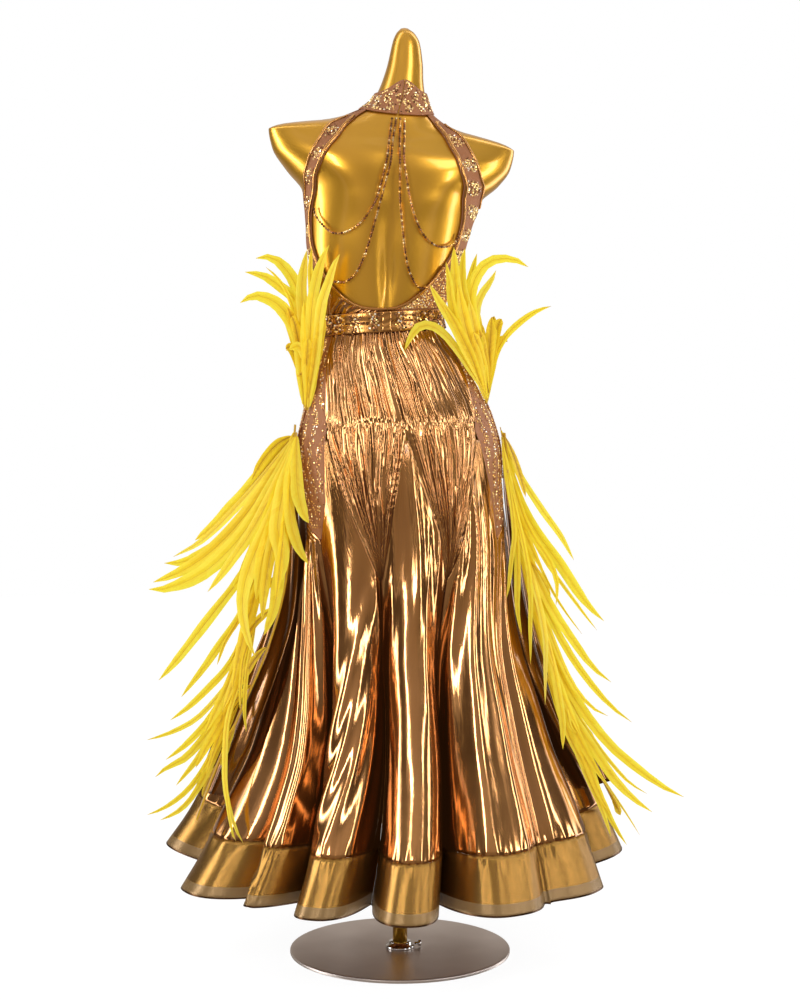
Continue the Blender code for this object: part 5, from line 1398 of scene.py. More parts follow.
# share of the way up the belt, level, and how far it stands off there
BELT_KNOTS = ((0.0, BELT_BOTTOM, BELT_SEAM_DEPTH), (0.14, BELT_BOTTOM + 0.001, 0.0046),
              (0.26, BELT_CREASE_BOTTOM, BELT_TIER_DEPTH),
              (0.44, BELT_MIDDLE - 0.001, BELT_FOLD_DEPTH + 0.0012), (0.50, BELT_MIDDLE, 0.0032),
              (0.56, BELT_MIDDLE + 0.001, BELT_FOLD_DEPTH + 0.0012),
              (0.74, BELT_CREASE_TOP, BELT_TIER_DEPTH), (0.86, BELT_TOP - 0.001, 0.0046),
              (1.0, BELT_TOP, BELT_SEAM_DEPTH))


def add_belt():
    """The belt in two folded tiers, drawn up in shallow folds, all round the waist."""
    share = np.linspace(0.0, 1.0, 30)
    level, out = SmoothTable(BELT_KNOTS).at(share)
    turn = np.arange(0.0, 360.0, 2.0)[None, :]
    level = np.broadcast_to(level[:, None], (len(share), turn.shape[1]))
    turn = np.broadcast_to(turn, level.shape)
    folds = 0.0004 * np.sin(np.radians(turn * 3) + 30.0 * share[:, None]
                            + 1.4 * np.sin(np.radians(turn * 2)))
    inside = np.sin(np.pi * share)[:, None]
    made = grid_mesh("folded_belt", dress_point(turn, level, out[:, None] + folds * inside),
                     BELT_LAME, closed=True)
    return piece(wall(made, 0.0012), "lame", "belt")


add_belt()
add_panel("belt_closure", np.linspace(TAB_BOTTOM, TAB_TOP, 16),
          lambda levels: TAB_LEFT + 0 * levels, lambda levels: TAB_RIGHT + 0 * levels, even(13),
          lambda share, drop, turn, level: 0.0007 * np.sin(drop * 17.0 + share * 3.0)
          - 0.0012 * (np.abs(2 * share - 1) ** 6), BELT_LAME, "lame", ("belt_tab",), TAB_WALL,
          TAB_STAND_OFF)


# ---------------------------------------------------------------- cuffs and floats
CUFFS = (
    ("cuff_left", ((0.885, -95.0, -87.0), (0.905, -97.0, -86.0), (0.930, -98.0, -85.0),
                   (0.955, -98.0, -84.0), (0.980, -97.0, -84.0))),
    ("cuff_right", ((0.835, 87.0, 95.0), (0.870, 86.0, 97.0), (0.905, 85.0, 98.0),
                    (0.940, 84.0, 98.0), (0.968, 84.0, 97.0))),
)
for name, rows in CUFFS:
    table = SmoothTable(rows)
    add_panel("stoned_" + name, np.linspace(rows[0][0], rows[-1][0], 24),
              lambda levels: table.at(levels)[0], lambda levels: table.at(levels)[1], even(12),
              lambda share, drop, turn, level: -0.0006 * (2 * share - 1) ** 4, STONED,
              "stoned_mesh", (name,), CUFF_WALL, CUFF_STAND_OFF)


# share of the way down a float, and how far its inner edge reaches on towards the skirt there
FLOAT_INSETS = ((0.0, 0.0), (0.12, 0.009), (0.20, 0.0115), (0.30, 0.0165), (0.40, 0.021),
                (0.50, 0.025), (0.85, 0.026), (1.0, 0.012))


def add_float(name, rows, side, node):
    """The loose strip of dark lame that widens as it falls from a cuff."""
    spine = smooth_path([row[:3] for row in rows], 70)
    width = between([(row[2], row[3]) for row in rows], spine[:, 2])
    slant = math.radians(FLOAT_SLANT)
    across = np.array((side * math.cos(slant), math.sin(slant), 0.0))
    along = unit(np.gradient(spine, axis=0))
    normal = unit(np.cross(along, across))
    share = np.linspace(-0.5, 0.5, 22)
    fall = np.linspace(0.0, 1.0, 70)[:, None]
    inwards = between(FLOAT_INSETS, fall) * (0.5 - share)[None, :]
    ripple = 0.10 * width[:, None] * np.sin(share[None, :] * 11.0 + 7.0 * fall) * fall ** 0.6
    spread = share[None, :] * width[:, None] - inwards
    points = (spine[:, None, :] + across[None, None, :] * spread[..., None]
              + normal[:, None, :] * ripple[..., None])
    made = grid_mesh(name, points, DARK_LAME)
    return piece(wall(made, 0.0010, 0.0), "dark_lame", node)


add_float("dark_float_left", FLOAT_LEFT, -1.0, "float_left")
add_float("dark_float_right", FLOAT_RIGHT, 1.0, "float_right")


# ---------------------------------------------------------------- stones
STONE_RINGS = ((1.0, 0.02), (0.82, 0.34), (0.46, 0.52))
STONE_SIDES = 6
STONE_TILT = 0.16


def stones_on(name, turn, level, out, radii, tones):
    """Faceted stones glued to the cloth at these turns and levels."""
    centres = dress_point(turn, level, out)
    normals = outward(turn, level)
    normals = unit(normals + DRAWS.normal(0.0, STONE_TILT, normals.shape))
    spin = DRAWS.uniform(0.0, 2.0 * math.pi, len(centres))
    first, second = frame_at(normals, np.tile((0.0, 0.0, 1.0), (len(centres), 1)))
    first = np.cos(spin)[:, None] * first + np.sin(spin)[:, None] * second
    rings = STONE_RINGS + ((0.02, 0.52),)
    group = lathe_copies(centres, normals, first, np.asarray(radii), rings, STONE_SIDES,
                         np.asarray(tones))
    made = add_mesh(name, group[0], group[1], STONES, tone=group[3])
    made.data.shade_flat()
    return piece(made, "rhinestones")


def scattered(low_turn, high_turn, low, high, pitch, density, cluster, seed):
    """Turns and levels of stones: a jittered lattice kept where a cluster pattern is strong."""
    draws = np.random.default_rng(seed)
    levels = np.arange(low, high, pitch * 0.87)
    turns_out, levels_out = [], []
    for k, level in enumerate(levels):
        a, b = low_turn(level), high_turn(level)
        per_metre = 0.1 / float(np.linalg.norm(surface(a + 0.05, level) - surface(a - 0.05, level)))
        step = pitch * per_metre
        if b - a < step:
            continue
        turn = np.arange(a + step * (0.5 + 0.5 * (k % 2)), b - step * 0.3, step)
        turn = turn + draws.normal(0.0, 0.16 * step, len(turn))
        height = level + draws.normal(0.0, 0.16 * pitch, len(turn))
        share = (turn - a) / (b - a)
        keep = cluster(share, height) + draws.normal(0.0, 0.18, len(turn)) > density
        turns_out.append(turn[keep])
        levels_out.append(height[keep])
    return np.concatenate(turns_out), np.concatenate(levels_out)


def stone_sizes(count, small=0.0011, large=0.0017):
    return DRAWS.uniform(small, large, count)


def stone_tones(count, choices=(0.18, 0.35, 0.5, 0.62, 0.75, 0.85, 1.0)):
    return DRAWS.choice(choices, count, p=(0.20, 0.16, 0.18, 0.14, 0.14, 0.11, 0.07))


CRISP_TONES = (0.06, 0.82, 0.72, 0.14, 0.62, 0.80, 0.97)    # of the stones that stand out most


def band_clusters(share, level):
    """Separate clusters of stones spaced along a band, each a little to one side."""
    phase = level / 0.040
    middle = 0.5 + 0.14 * np.sin(phase * 2.4)
    along = np.abs((phase % 1.0) - 0.5) * 2.0
    return 1.15 - 2.1 * along ** 2 - 3.4 * (share - middle) ** 2


# turn of the middle of each cluster on the belt, half its width, and how dense it is
BELT_CLUSTERS = ((-66.0, 6.0, 0.9), (-50.0, 6.0, 1.1), (-31.0, 6.0, 1.0), (-12.0, 5.0, 1.1),
                 (13.0, 5.0, 1.1), (29.0, 6.0, 0.9), (45.0, 7.0, 1.1), (66.0, 7.0, 0.9),
                 (90.0, 8.0, 1.0), (120.0, 9.0, 1.0), (150.0, 10.0, 1.0), (190.0, 9.0, 1.0),
                 (228.0, 10.0, 1.0), (258.0, 6.0, 0.8))


def belt_clusters(share, level):
    """Clusters of stones along the belt, uneven in width and density."""
    turn = share * 356.0 - 88.0
    return sum(dense * bump(turn, middle, half) for middle, half, dense in BELT_CLUSTERS) + 0 * level


def stone_band(name, rows, seed):
    """Clusters of stones up one shoulder band."""
    table = SmoothTable(rows)
    turn, level = scattered(lambda h: float(np.min(table.at(np.array(h)))) + 1.0,
                            lambda h: float(np.max(table.at(np.array(h)))) - 1.0,
                            rows[0][0] + 0.004, 1.452, 0.0036, 0.45, band_clusters, seed)
    stones_on(name, turn, level, 0.0, stone_sizes(len(turn), 0.0013, 0.0020),
              stone_tones(len(turn), CRISP_TONES))


LOW_STONE_COLUMNS = 84   # places for stones across the stoned lower back, before some are left out
LOW_STONE_ROWS = 16
LOW_STONE_KEPT = 0.62    # chance that a place keeps its stone
LOW_STONE_FOOT = 0.003   # from the belt's top to the lowest row
LOW_STONE_HEAD = 0.005   # left free under the open back's edge


def add_stones():
    """All the glued stones: bands, lower back, sides, collar, belt and cuffs."""
    stone_band("stones_shoulder_left", BAND_LEFT, 31)
    stone_band("stones_shoulder_right", BAND_RIGHT, 32)
    low = SmoothTable(LOW_BACK_RIGHT)
    turn = np.concatenate([np.linspace(1.5, 88.0, LOW_STONE_COLUMNS)
                           + DRAWS.normal(0, 0.4, LOW_STONE_COLUMNS)
                           for _ in range(LOW_STONE_ROWS)])
    share = np.repeat(np.arange(LOW_STONE_ROWS) / LOW_STONE_ROWS, LOW_STONE_COLUMNS)
    share = share + DRAWS.normal(0.0, 0.012, len(share))
    reach = low.at(turn)[0] - LOW_STONE_HEAD - BELT_TOP - LOW_STONE_FOOT
    level = BELT_TOP + LOW_STONE_FOOT + reach * share
    keep = (level > BELT_TOP + 0.002) & (DRAWS.random(len(turn)) < LOW_STONE_KEPT)
    stones_on("stones_low_back", turn[keep], level[keep], 0.0, stone_sizes(keep.sum()),
              stone_tones(keep.sum()))
    for name, left, right, seed in (("stones_side_left", LEAF_LEFT_FRONT, LEAF_LEFT_BACK, 41),
                                    ("stones_side_right", LEAF_RIGHT_BACK, LEAF_RIGHT_FRONT, 42)):
        a, b = sorted((left, right), key=lambda edge: between(edge, 0.95))

        def clusters(share, level, seed=seed):
            wave = np.sin(share * 34.0 + 2.2 * np.sin(level * 42.0 + seed))
            gaps = np.sin(level * 150.0 + 5.0 * share * 6.0 + seed)
            return 0.55 + 0.55 * wave + 0.25 * gaps
        turn, level = scattered(lambda h: float(between(a, h)) + 1.0,
                                lambda h: float(between(b, h)) - 1.0,
                                LEAF_TIP + 0.02, BELT_BOTTOM - 0.004, 0.0042, 0.62, clusters, seed)
        stones_on(name, turn, level, 0.0, stone_sizes(len(turn), 0.0013, 0.0019),
                  stone_tones(len(turn)))
    turn, level = scattered(lambda h: COLLAR_OPENING + 1.5, lambda h: 360.0 - COLLAR_OPENING,
                            COLLAR_BOTTOM + 0.003, COLLAR_TOP + COLLAR_PEAK, 0.0037, 0.25,
                            lambda share, h: 0.45 + 0.7 * np.sin(
                                share * 95.0 + 2.0 * np.sin(h * 170.0)), 51)
    inside = ((level < collar_top(turn) - 0.003) & (level > collar_bottom(turn) + 0.003))
    turn, level = turn[inside], level[inside]
    stones_on("stones_collar", turn, level, COLLAR_STAND_OFF,
              stone_sizes(len(turn), 0.0014, 0.0021), stone_tones(len(turn), CRISP_TONES))
    turn, level = scattered(lambda h: -88.0, lambda h: 268.0, BELT_BOTTOM + 0.003,
                            BELT_TOP - 0.002, 0.0033, 0.50, belt_clusters, 52)
    clear = np.abs(turn) > 7.0
    turn, level = turn[clear], level[clear]
    belt_level, belt_out = SmoothTable(BELT_KNOTS).at(np.linspace(0.0, 1.0, 120))
    stones_on("stones_belt", turn, level, np.interp(level, belt_level, belt_out) + 0.0008,
              stone_sizes(len(turn), 0.0015, 0.0021), stone_tones(len(turn)) ** 2.0)
    for name, rows in CUFFS:
        table = SmoothTable(rows)
        turn, level = scattered(lambda h: float(table.at(np.array(h))[0]),
                                lambda h: float(table.at(np.array(h))[1]),
                                rows[0][0] + 0.002, rows[-1][0] - 0.002, 0.0036, 0.2,
                                lambda share, h: 0.8 + 0 * share, 61)
        stones_on("stones_" + name, turn, level, CUFF_STAND_OFF - 0.0002,
                  stone_sizes(len(turn)), stone_tones(len(turn)))


add_stones()


# ---------------------------------------------------------------- feathers
VANE_ROWS = 30           # rows of faces along a vane
QUILL_POINTS = 16


def feather_line(root, tip, bow, count):
    """Points of a feather's quill: a curve bowed upwards by bow at its middle."""
    control = (root + tip) / 2.0 + np.array((0.0, 0.0, 2.0 * bow))
    t = np.linspace(0.0, 1.0, count)[:, None]
    return root * (1 - t) ** 2 + control * 2 * t * (1 - t) + tip * t ** 2


def vane_width(share):
    """Half-width of a coque feather along its length, as a share of its widest."""
    return np.interp(share, (0.0, 0.08, 0.25, 0.62, 0.82, 0.94, 1.0),
                     (0.16, 0.45, 0.86, 1.0, 0.80, 0.42, 0.02))


def rows_along(line, share):
    """Points of a line read at shares of its length."""
    marks = np.linspace(0.0, 1.0, len(line))
    return np.stack([np.interp(share, marks, line[:, k]) for k in range(3)], axis=-1)


def plume(line, width, facing, draws, shade=0.0):
    """One feather: a fine quill between two cupped vanes of swept barbs."""
    along = unit(np.gradient(line, axis=0))
    face = unit(np.asarray(facing) + draws.normal(0.0, 0.30, 3))
    side = unit(np.cross(face, along))
    out = unit(np.cross(along, side))
    quill_points, quill_faces = tube(line, np.linspace(0.0010, 0.0003, len(line)), 3)
    share = np.linspace(0.02, 1.0, VANE_ROWS)
    spots, alongs = rows_along(line, share), rows_along(along, share)
    sides, outs = rows_along(side, share), rows_along(out, share)
    points, faces, tones = [], [], []
    for number, sign in enumerate((-1.0, 1.0)):
        half = width / 2 * vane_width(share) * draws.uniform(0.90, 1.06)
        half = half * (1.0 + 0.05 * np.sin(share * draws.uniform(9.0, 22.0)
                                           + draws.uniform(0.0, 6.28)))
        ahead = half * 1.1 * (1.0 - share ** 3)
        twist = 0.16 * np.sin(share * draws.uniform(2.0, 5.0) + draws.uniform(0.0, 6.28))
        columns = [spots + sides * (sign * half * part)[:, None] + alongs * (ahead * part)[:, None]
                   + outs * (half * (cup + twist * part * part))[:, None]
                   for part, cup in ((0.0, 0.0), (0.4, 0.10), (0.75, 0.10), (1.0, 0.02))]
        index = number * VANE_ROWS * 4 + np.arange(VANE_ROWS * 4).reshape(VANE_ROWS, 4)
        faces.append(np.stack((index[:-1, :-1], index[:-1, 1:], index[1:, 1:], index[1:, :-1]),
                              axis=-1).reshape(-1, 4))
        # painted shade: shade lowers the tone of a feather that hangs in shadow
        across = np.array((0.70, 0.86, 0.95)) + draws.normal(0.0, 0.05) - shade
        streak = draws.normal(0.0, 0.04, (VANE_ROWS - 1, 1))
        points.append(np.stack(columns, axis=1).reshape(-1, 3))
        tones.append(np.clip(across[None, :] + streak, 0.0, 1.0).ravel())
    faces.append(quill_faces + 2 * VANE_ROWS * 4)
    points.append(quill_points)
    tones.append(np.full(len(quill_faces), max(0.0, 0.45 - shade)))
    faces = np.vstack(faces)
    return np.vstack(points), faces, np.zeros((4 * len(faces), 2)), np.concatenate(tones)


def strip_group(line, width, thickness):
    """The backing strip that the quills are sewn to."""
    across = np.array((0.0, 1.0, 0.0))
    along = unit(np.gradient(line, axis=0))
    normal = unit(np.cross(along, across))
    half = across * width / 2
    thick = normal * thickness / 2
    ring = np.stack((line - half - thick, line - half + thick, line + half + thick,
                     line + half - thick), axis=1)
    index = np.arange(len(line) * 4).reshape(len(line), 4)
    wrapped = np.roll(index, -1, axis=1)
    quads = np.stack((index[:-1], wrapped[:-1], wrapped[1:], index[1:]), axis=-1).reshape(-1, 4)
    return ring.reshape(-1, 3), quads, np.zeros((4 * len(quads), 2)), np.full(len(quads), 0.3)


def dress_depth(x, height):
    """y of the dress's back at this x and height, or far away beside it."""
    turn, level = place_on_back(x, height)
    row = SECTION_TABLE.at(np.array(level))
    if abs(x - row[0]) > 0.995 * row[2]:
        return 9.0
    return float(surface(turn, level)[1])


def seen_at(column, row, depth):
    """Where a pixel of the photograph lies if it shows a thing this far beyond the dress's axis."""
    focal = CAMERA_LENS / CAMERA_SENSOR * PHOTO_HEIGHT
    side = (column - PHOTO_WIDTH / 2) / focal
    up = (PHOTO_HEIGHT / 2 - row) / focal
    ahead = math.cos(CAMERA_TILT) + up * math.sin(CAMERA_TILT)
    rise = up * math.cos(CAMERA_TILT) - math.sin(CAMERA_TILT)
    reach = (depth + CAMERA_DISTANCE) / ahead
    x = math.cos(CAMERA_TURN) * side * reach - math.sin(CAMERA_TURN) * depth
    y = math.sin(CAMERA_TURN) * side * reach + math.cos(CAMERA_TURN) * depth
    return tuple(round(value, 3) for value in (x, y, CAMERA_HEIGHT + rise * reach))


def add_plumes(name, line, strip_width, rows, fills, node, seed):
    """All the feathers of one strip: the main ones from rows of pixels, and the fills."""
    draws = np.random.default_rng(seed)
    groups = [strip_group(line, strip_width, STRIP_THICKNESS)]
    for width, root_depth, tip_depth, shade, *pixels in rows:
        depths = np.linspace(root_depth, tip_depth, len(pixels))
        route = [seen_at(*pixel, depth) for pixel, depth in zip(pixels, depths)]
        flat = smooth_path([(x, 0.0, z) for x, _, z in route], QUILL_POINTS)
        depth = np.linspace(route[0][1], route[-1][1], QUILL_POINTS)
        clear = np.array([dress_depth(x, z) - PLUME_CLEARANCE for x, _, z in flat])
        depth = np.minimum(depth, clear)
        for _ in range(PLUME_SMOOTHING):
            depth[1:-1] = np.minimum(depth[1:-1], (depth[:-2] + depth[1:-1] + depth[2:]) / 3.0)
        flat[:, 1] = depth
        groups.append(plume(flat, width * PLUME_EASE, (0.0, -1.0, 0.1), draws, shade))
    for line, width in fills(draws):
        # the fills behind the main feathers get a random painted shade
        groups.append(plume(line, width, (0.0, -1.0, 0.15), draws, draws.uniform(0.15, 0.42)))
    points, faces, _, tones = joined(groups)
    made = add_mesh(name, points, faces, FEATHER, tone=tones)
    return piece(made, "feather", node)


def upward_fills(strip, rows):
    """Shorter feathers inside an upward fan."""
    back, front = np.array(strip[0]), np.array(strip[1])

    def fills(draws):
        for place, tip_x, height, bow, width in rows:
            root = back + (front - back) * place
            reach = draws.uniform(0.42, 0.72)
            target = root[0] + (tip_x - root[0]) * 0.55
            tip = root + np.array((target - root[0], 0.0, height - root[2])) * reach
            tip[1] = root[1] * (1.0 + FAN_SPREAD * math.hypot(tip[0] - root[0], tip[2] - root[2]))
            yield feather_line(root, tip, bow * reach, QUILL_POINTS), width
    return fills


def lane_depth(base_line, lane_y, spots):
    order = np.argsort(base_line[:, 2])
    strip_y = np.interp(spots[:, 2], base_line[order, 2], base_line[order, 1])
    strip_x = np.interp(spots[:, 2], base_line[order, 2], base_line[order, 0])
    away = np.maximum(0.0, np.abs(spots[:, 0]) - np.abs(strip_x))
    return strip_y + lane_y * (1.0 + LANE_SPREAD * away)


def downward_fills(strip, rows):
    """Shorter feathers behind the long ones of a downward spray, in lanes across its strip."""
    base_line = smooth_path(strip, 6)

    def fills(draws):
        for number, (place, tip_x, height, bow, width) in enumerate(rows):
            lane = number * LANE_STEP % LANES
            lane_y = (lane - (LANES - 1) / 2) * STRIP_DOWN_WIDTH / LANES
            reach = draws.uniform(0.30, 0.48)
            spot = place * 5
            i = min(int(spot), 4)
            root = base_line[i] + (base_line[i + 1] - base_line[i]) * (spot - i)
            tip = root + np.array((tip_x - root[0], 0.0, height - root[2])) * reach
            line = feather_line(root, tip, bow * reach, QUILL_POINTS)
            line[:, 1] = lane_depth(base_line, lane_y, line)
            yield line, width * 0.9
    return fills


PLUME_CLEARANCE = 0.012  # of a feather from the cloth behind it
PLUME_SMOOTHING = 12     # rounds of fairing where the cloth pushes a feather out
PLUME_EASE = 1.12        # how much wider a feather is made than it was read
# The main feathers, read off the photograph.  Each row is one feather: width, how far beyond the
# dress's axis its root and its tip hang, seen from the camera (nearer is below 0), how much
# painted shade darkens it, and the photograph's pixels (column, row) along its quill from the root.
SEEN_LEFT_UP = (
    (0.021, -0.050, -0.060, 0.00, (304, 408), (299, 345), (285, 312), (268, 298), (253, 296),
     (240, 303)),
    (0.020, -0.030, -0.030, 0.00, (306, 406), (307, 335), (299, 305), (283, 289), (265, 276),
     (245, 272)),
    (0.022, -0.010, -0.020, 0.00, (305, 408), (307, 355), (305, 315), (297, 288), (285, 268),
     (271, 257), (256, 258)),
    (0.009, -0.040, -0.050, 0.00, (303, 400), (302, 362), (298, 325), (288, 295), (277, 277),
     (266, 267)),
    (0.019, -0.035, -0.060, 0.05, (305, 408), (304, 335), (302, 299), (302, 280), (307, 250)),
    (0.017, -0.045, -0.070, 0.10, (306, 408), (309, 335), (311, 295), (310, 267), (312, 247)),
    (0.020, -0.045, -0.090, 0.00, (306, 408), (309, 345), (312, 305), (316, 280), (323, 257),
     (329, 245)),
    (0.021, -0.050, -0.100, 0.03, (307, 410), (313, 372), (317, 335), (321, 305), (327, 287),
     (334, 265), (340, 254)),
    (0.018, -0.045, -0.085, 0.20, (307, 408), (313, 365), (318, 330), (323, 300), (326, 280)),
    (0.019, -0.050, -0.080, 0.30, (308, 408), (314, 370), (320, 335), (324, 312)),
    (0.022, -0.055, -0.060, 0.00, (308, 410), (311, 380), (308, 360), (299, 346), (289, 350)),
    (0.020, -0.052, -0.070, 0.05, (306, 410), (308, 370), (306, 330), (304, 300)),
    (0.018, -0.050, -0.075, 0.12, (307, 410), (312, 360), (314, 320), (314, 290)),
    (0.021, -0.020, -0.050, 0.08, (304, 408), (301, 360), (300, 320), (296, 296)),
)
SEEN_RIGHT_UP = (
    (0.021, -0.020, -0.040, 0.00, (487, 402), (477, 342), (470, 306), (472, 284), (484, 265),
     (500, 259), (515, 260), (528, 267)),
    (0.012, 0.010, 0.010, 0.00, (487, 404), (491, 375), (495, 355), (505, 337), (520, 322),
     (537, 311), (551, 306)),
    (0.020, 0.000, -0.010, 0.00, (487, 402), (482, 370), (477, 337), (476, 312), (481, 295),
     (490, 282), (496, 270)),
    (0.016, 0.010, -0.030, 0.03, (487, 402), (477, 350), (470, 312), (469, 290), (472, 272),
     (477, 254)),
    (0.018, -0.010, -0.060, 0.00, (487, 402), (476, 350), (467, 312), (462, 287), (462, 265),
     (465, 248)),
    (0.020, -0.018, -0.080, 0.00, (487, 402), (482, 380), (470, 342), (460, 312), (455, 287),
     (454, 267), (454, 247)),
    (0.018, -0.018, -0.085, 0.03, (487, 402), (470, 355), (457, 325), (451, 300), (449, 280),
     (446, 262)),
    (0.018, -0.018, -0.090, 0.00, (486, 402), (480, 380), (467, 355), (455, 330), (445, 312),
     (436, 297), (430, 285)),
    (0.016, -0.020, -0.095, 0.02, (487, 403), (480, 385), (470, 370), (457, 350), (445, 335),
     (432, 326), (420, 326), (411, 336), (405, 350)),
    (0.020, -0.015, -0.070, 0.05, (487, 402), (478, 365), (468, 335), (462, 310), (458, 285)),
    (0.020, -0.005, -0.050, 0.05, (487, 402), (482, 362), (475, 330), (469, 300)),
    (0.016, -0.018, -0.080, 0.10, (486, 402), (474, 365), (463, 340), (452, 318), (444, 305)),
)
SEEN_LEFT_DOWN = (
    (0.025, -0.050, -0.080, 0.00, (297, 432), (287, 457), (267, 497), (240, 537), (207, 570),
     (170, 588), (149, 589)),
    (0.023, -0.040, -0.060, 0.03, (297, 433), (273, 473), (247, 513), (213, 550), (180, 572),
     (153, 582)),
    (0.021, -0.030, -0.050, 0.03, (296, 433), (280, 463), (253, 503), (227, 537), (190, 560),
     (164, 563)),
    (0.021, -0.030, -0.040, 0.05, (296, 434), (273, 463), (240, 503), (203, 540), (173, 557)),
    (0.023, -0.020, -0.030, 0.05, (296, 434), (280, 450), (250, 487), (220, 520), (195, 540)),
    (0.019, -0.055, -0.085, 0.00, (297, 435), (287, 460), (270, 497), (250, 533), (227, 567),
     (208, 592)),
    (0.024, -0.055, -0.095, 0.05, (297, 437), (286, 470), (272, 510), (255, 550), (242, 575),
     (232, 588)),
    (0.023, -0.055, -0.120, 0.02, (298, 438), (288, 475), (270, 520), (252, 560), (242, 597),
     (246, 632), (255, 657)),
    (0.026, -0.060, -0.120, 0.00, (297, 436), (291, 460), (283, 490), (277, 525), (281, 545),
     (282, 567), (276, 588)),
    (0.023, -0.065, -0.110, 0.00, (297, 434), (293, 457), (289, 490), (291, 520), (298, 547),
     (308, 564)),
    (0.021, -0.065, -0.105, 0.00, (297, 434), (296, 457), (297, 487), (302, 511), (309, 523)),
    (0.019, -0.065, -0.125, 0.00, (290, 500), (283, 540), (278, 580), (274, 608), (264, 635)),
    (0.022, -0.050, -0.110, 0.10, (297, 440), (286, 480), (272, 525), (262, 560), (256, 600)),
    (0.020, -0.060, -0.130, 0.25, (296, 450), (288, 500), (282, 550), (276, 600)),
    (0.020, -0.055, -0.120, 0.18, (294, 450), (284, 500), (272, 545), (264, 590), (262, 620)),
    (0.016, -0.055, -0.090, 0.05, (268, 540), (250, 562), (235, 585), (222, 602), (200, 630),
     (177, 660), (159, 680)),
    (0.013, -0.060, -0.090, 0.05, (262, 560), (250, 590), (240, 615), (220, 645), (202, 670),
     (181, 697)),
    (0.013, -0.065, -0.095, 0.05, (258, 590), (250, 620), (240, 645), (227, 668), (210, 687),
     (190, 706), (170, 720)),
    (0.010, -0.065, -0.095, 0.10, (256, 610), (247, 647), (232, 677), (215, 700), (195, 720),
     (170, 733), (147, 740)),
    (0.013, -0.070, -0.100, 0.05, (254, 620), (240, 672), (222, 700), (205, 725), (185, 745),
     (166, 760)),
    (0.013, -0.070, -0.100, 0.08, (252, 640), (235, 685), (220, 715), (202, 740), (185, 758),
     (167, 767), (155, 777)),
    (0.011, -0.075, -0.100, 0.05, (248, 660), (227, 705), (212, 735), (195, 762), (176, 786)),
    (0.010, -0.075, -0.105, 0.05, (240, 690), (220, 735), (205, 765), (187, 790), (165, 807),
     (147, 815)),
    (0.010, -0.080, -0.110, 0.05, (240, 700), (222, 740), (207, 772), (192, 797), (177, 812),
     (160, 820)),
    (0.007, -0.085, -0.120, 0.10, (232, 710), (220, 735), (212, 757), (206, 776)),
    (0.009, -0.085, -0.140, 0.00, (250, 655), (234, 695), (227, 722), (225, 755), (225, 785),
     (232, 810), (242, 833)),
    (0.007, -0.085, -0.140, 0.03, (248, 660), (232, 700), (225, 735), (224, 770), (228, 805),
     (235, 831)),
    (0.007, -0.090, -0.130, 0.10, (256, 620), (250, 652), (246, 677), (244, 707), (246, 732)),
    (0.007, -0.085, -0.130, 0.15, (254, 630), (244, 655), (241, 680), (240, 710)),
    (0.006, -0.060, -0.090, 0.15, (250, 595), (240, 617), (225, 642), (217, 665)),
    (0.015, -0.065, -0.110, 0.15, (275, 530), (262, 570), (250, 610), (240, 650), (232, 690)),
    (0.015, -0.070, -0.110, 0.20, (268, 560), (256, 600), (246, 640), (234, 680), (222, 712)),
    (0.014, -0.070, -0.110, 0.12, (256, 600), (244, 640), (230, 680), (214, 715), (204, 735)),
    (0.014, -0.075, -0.115, 0.15, (246, 650), (234, 690), (220, 722), (206, 748), (196, 768)),
    (0.012, -0.080, -0.115, 0.20, (238, 690), (226, 722), (212, 752), (200, 775)),
)
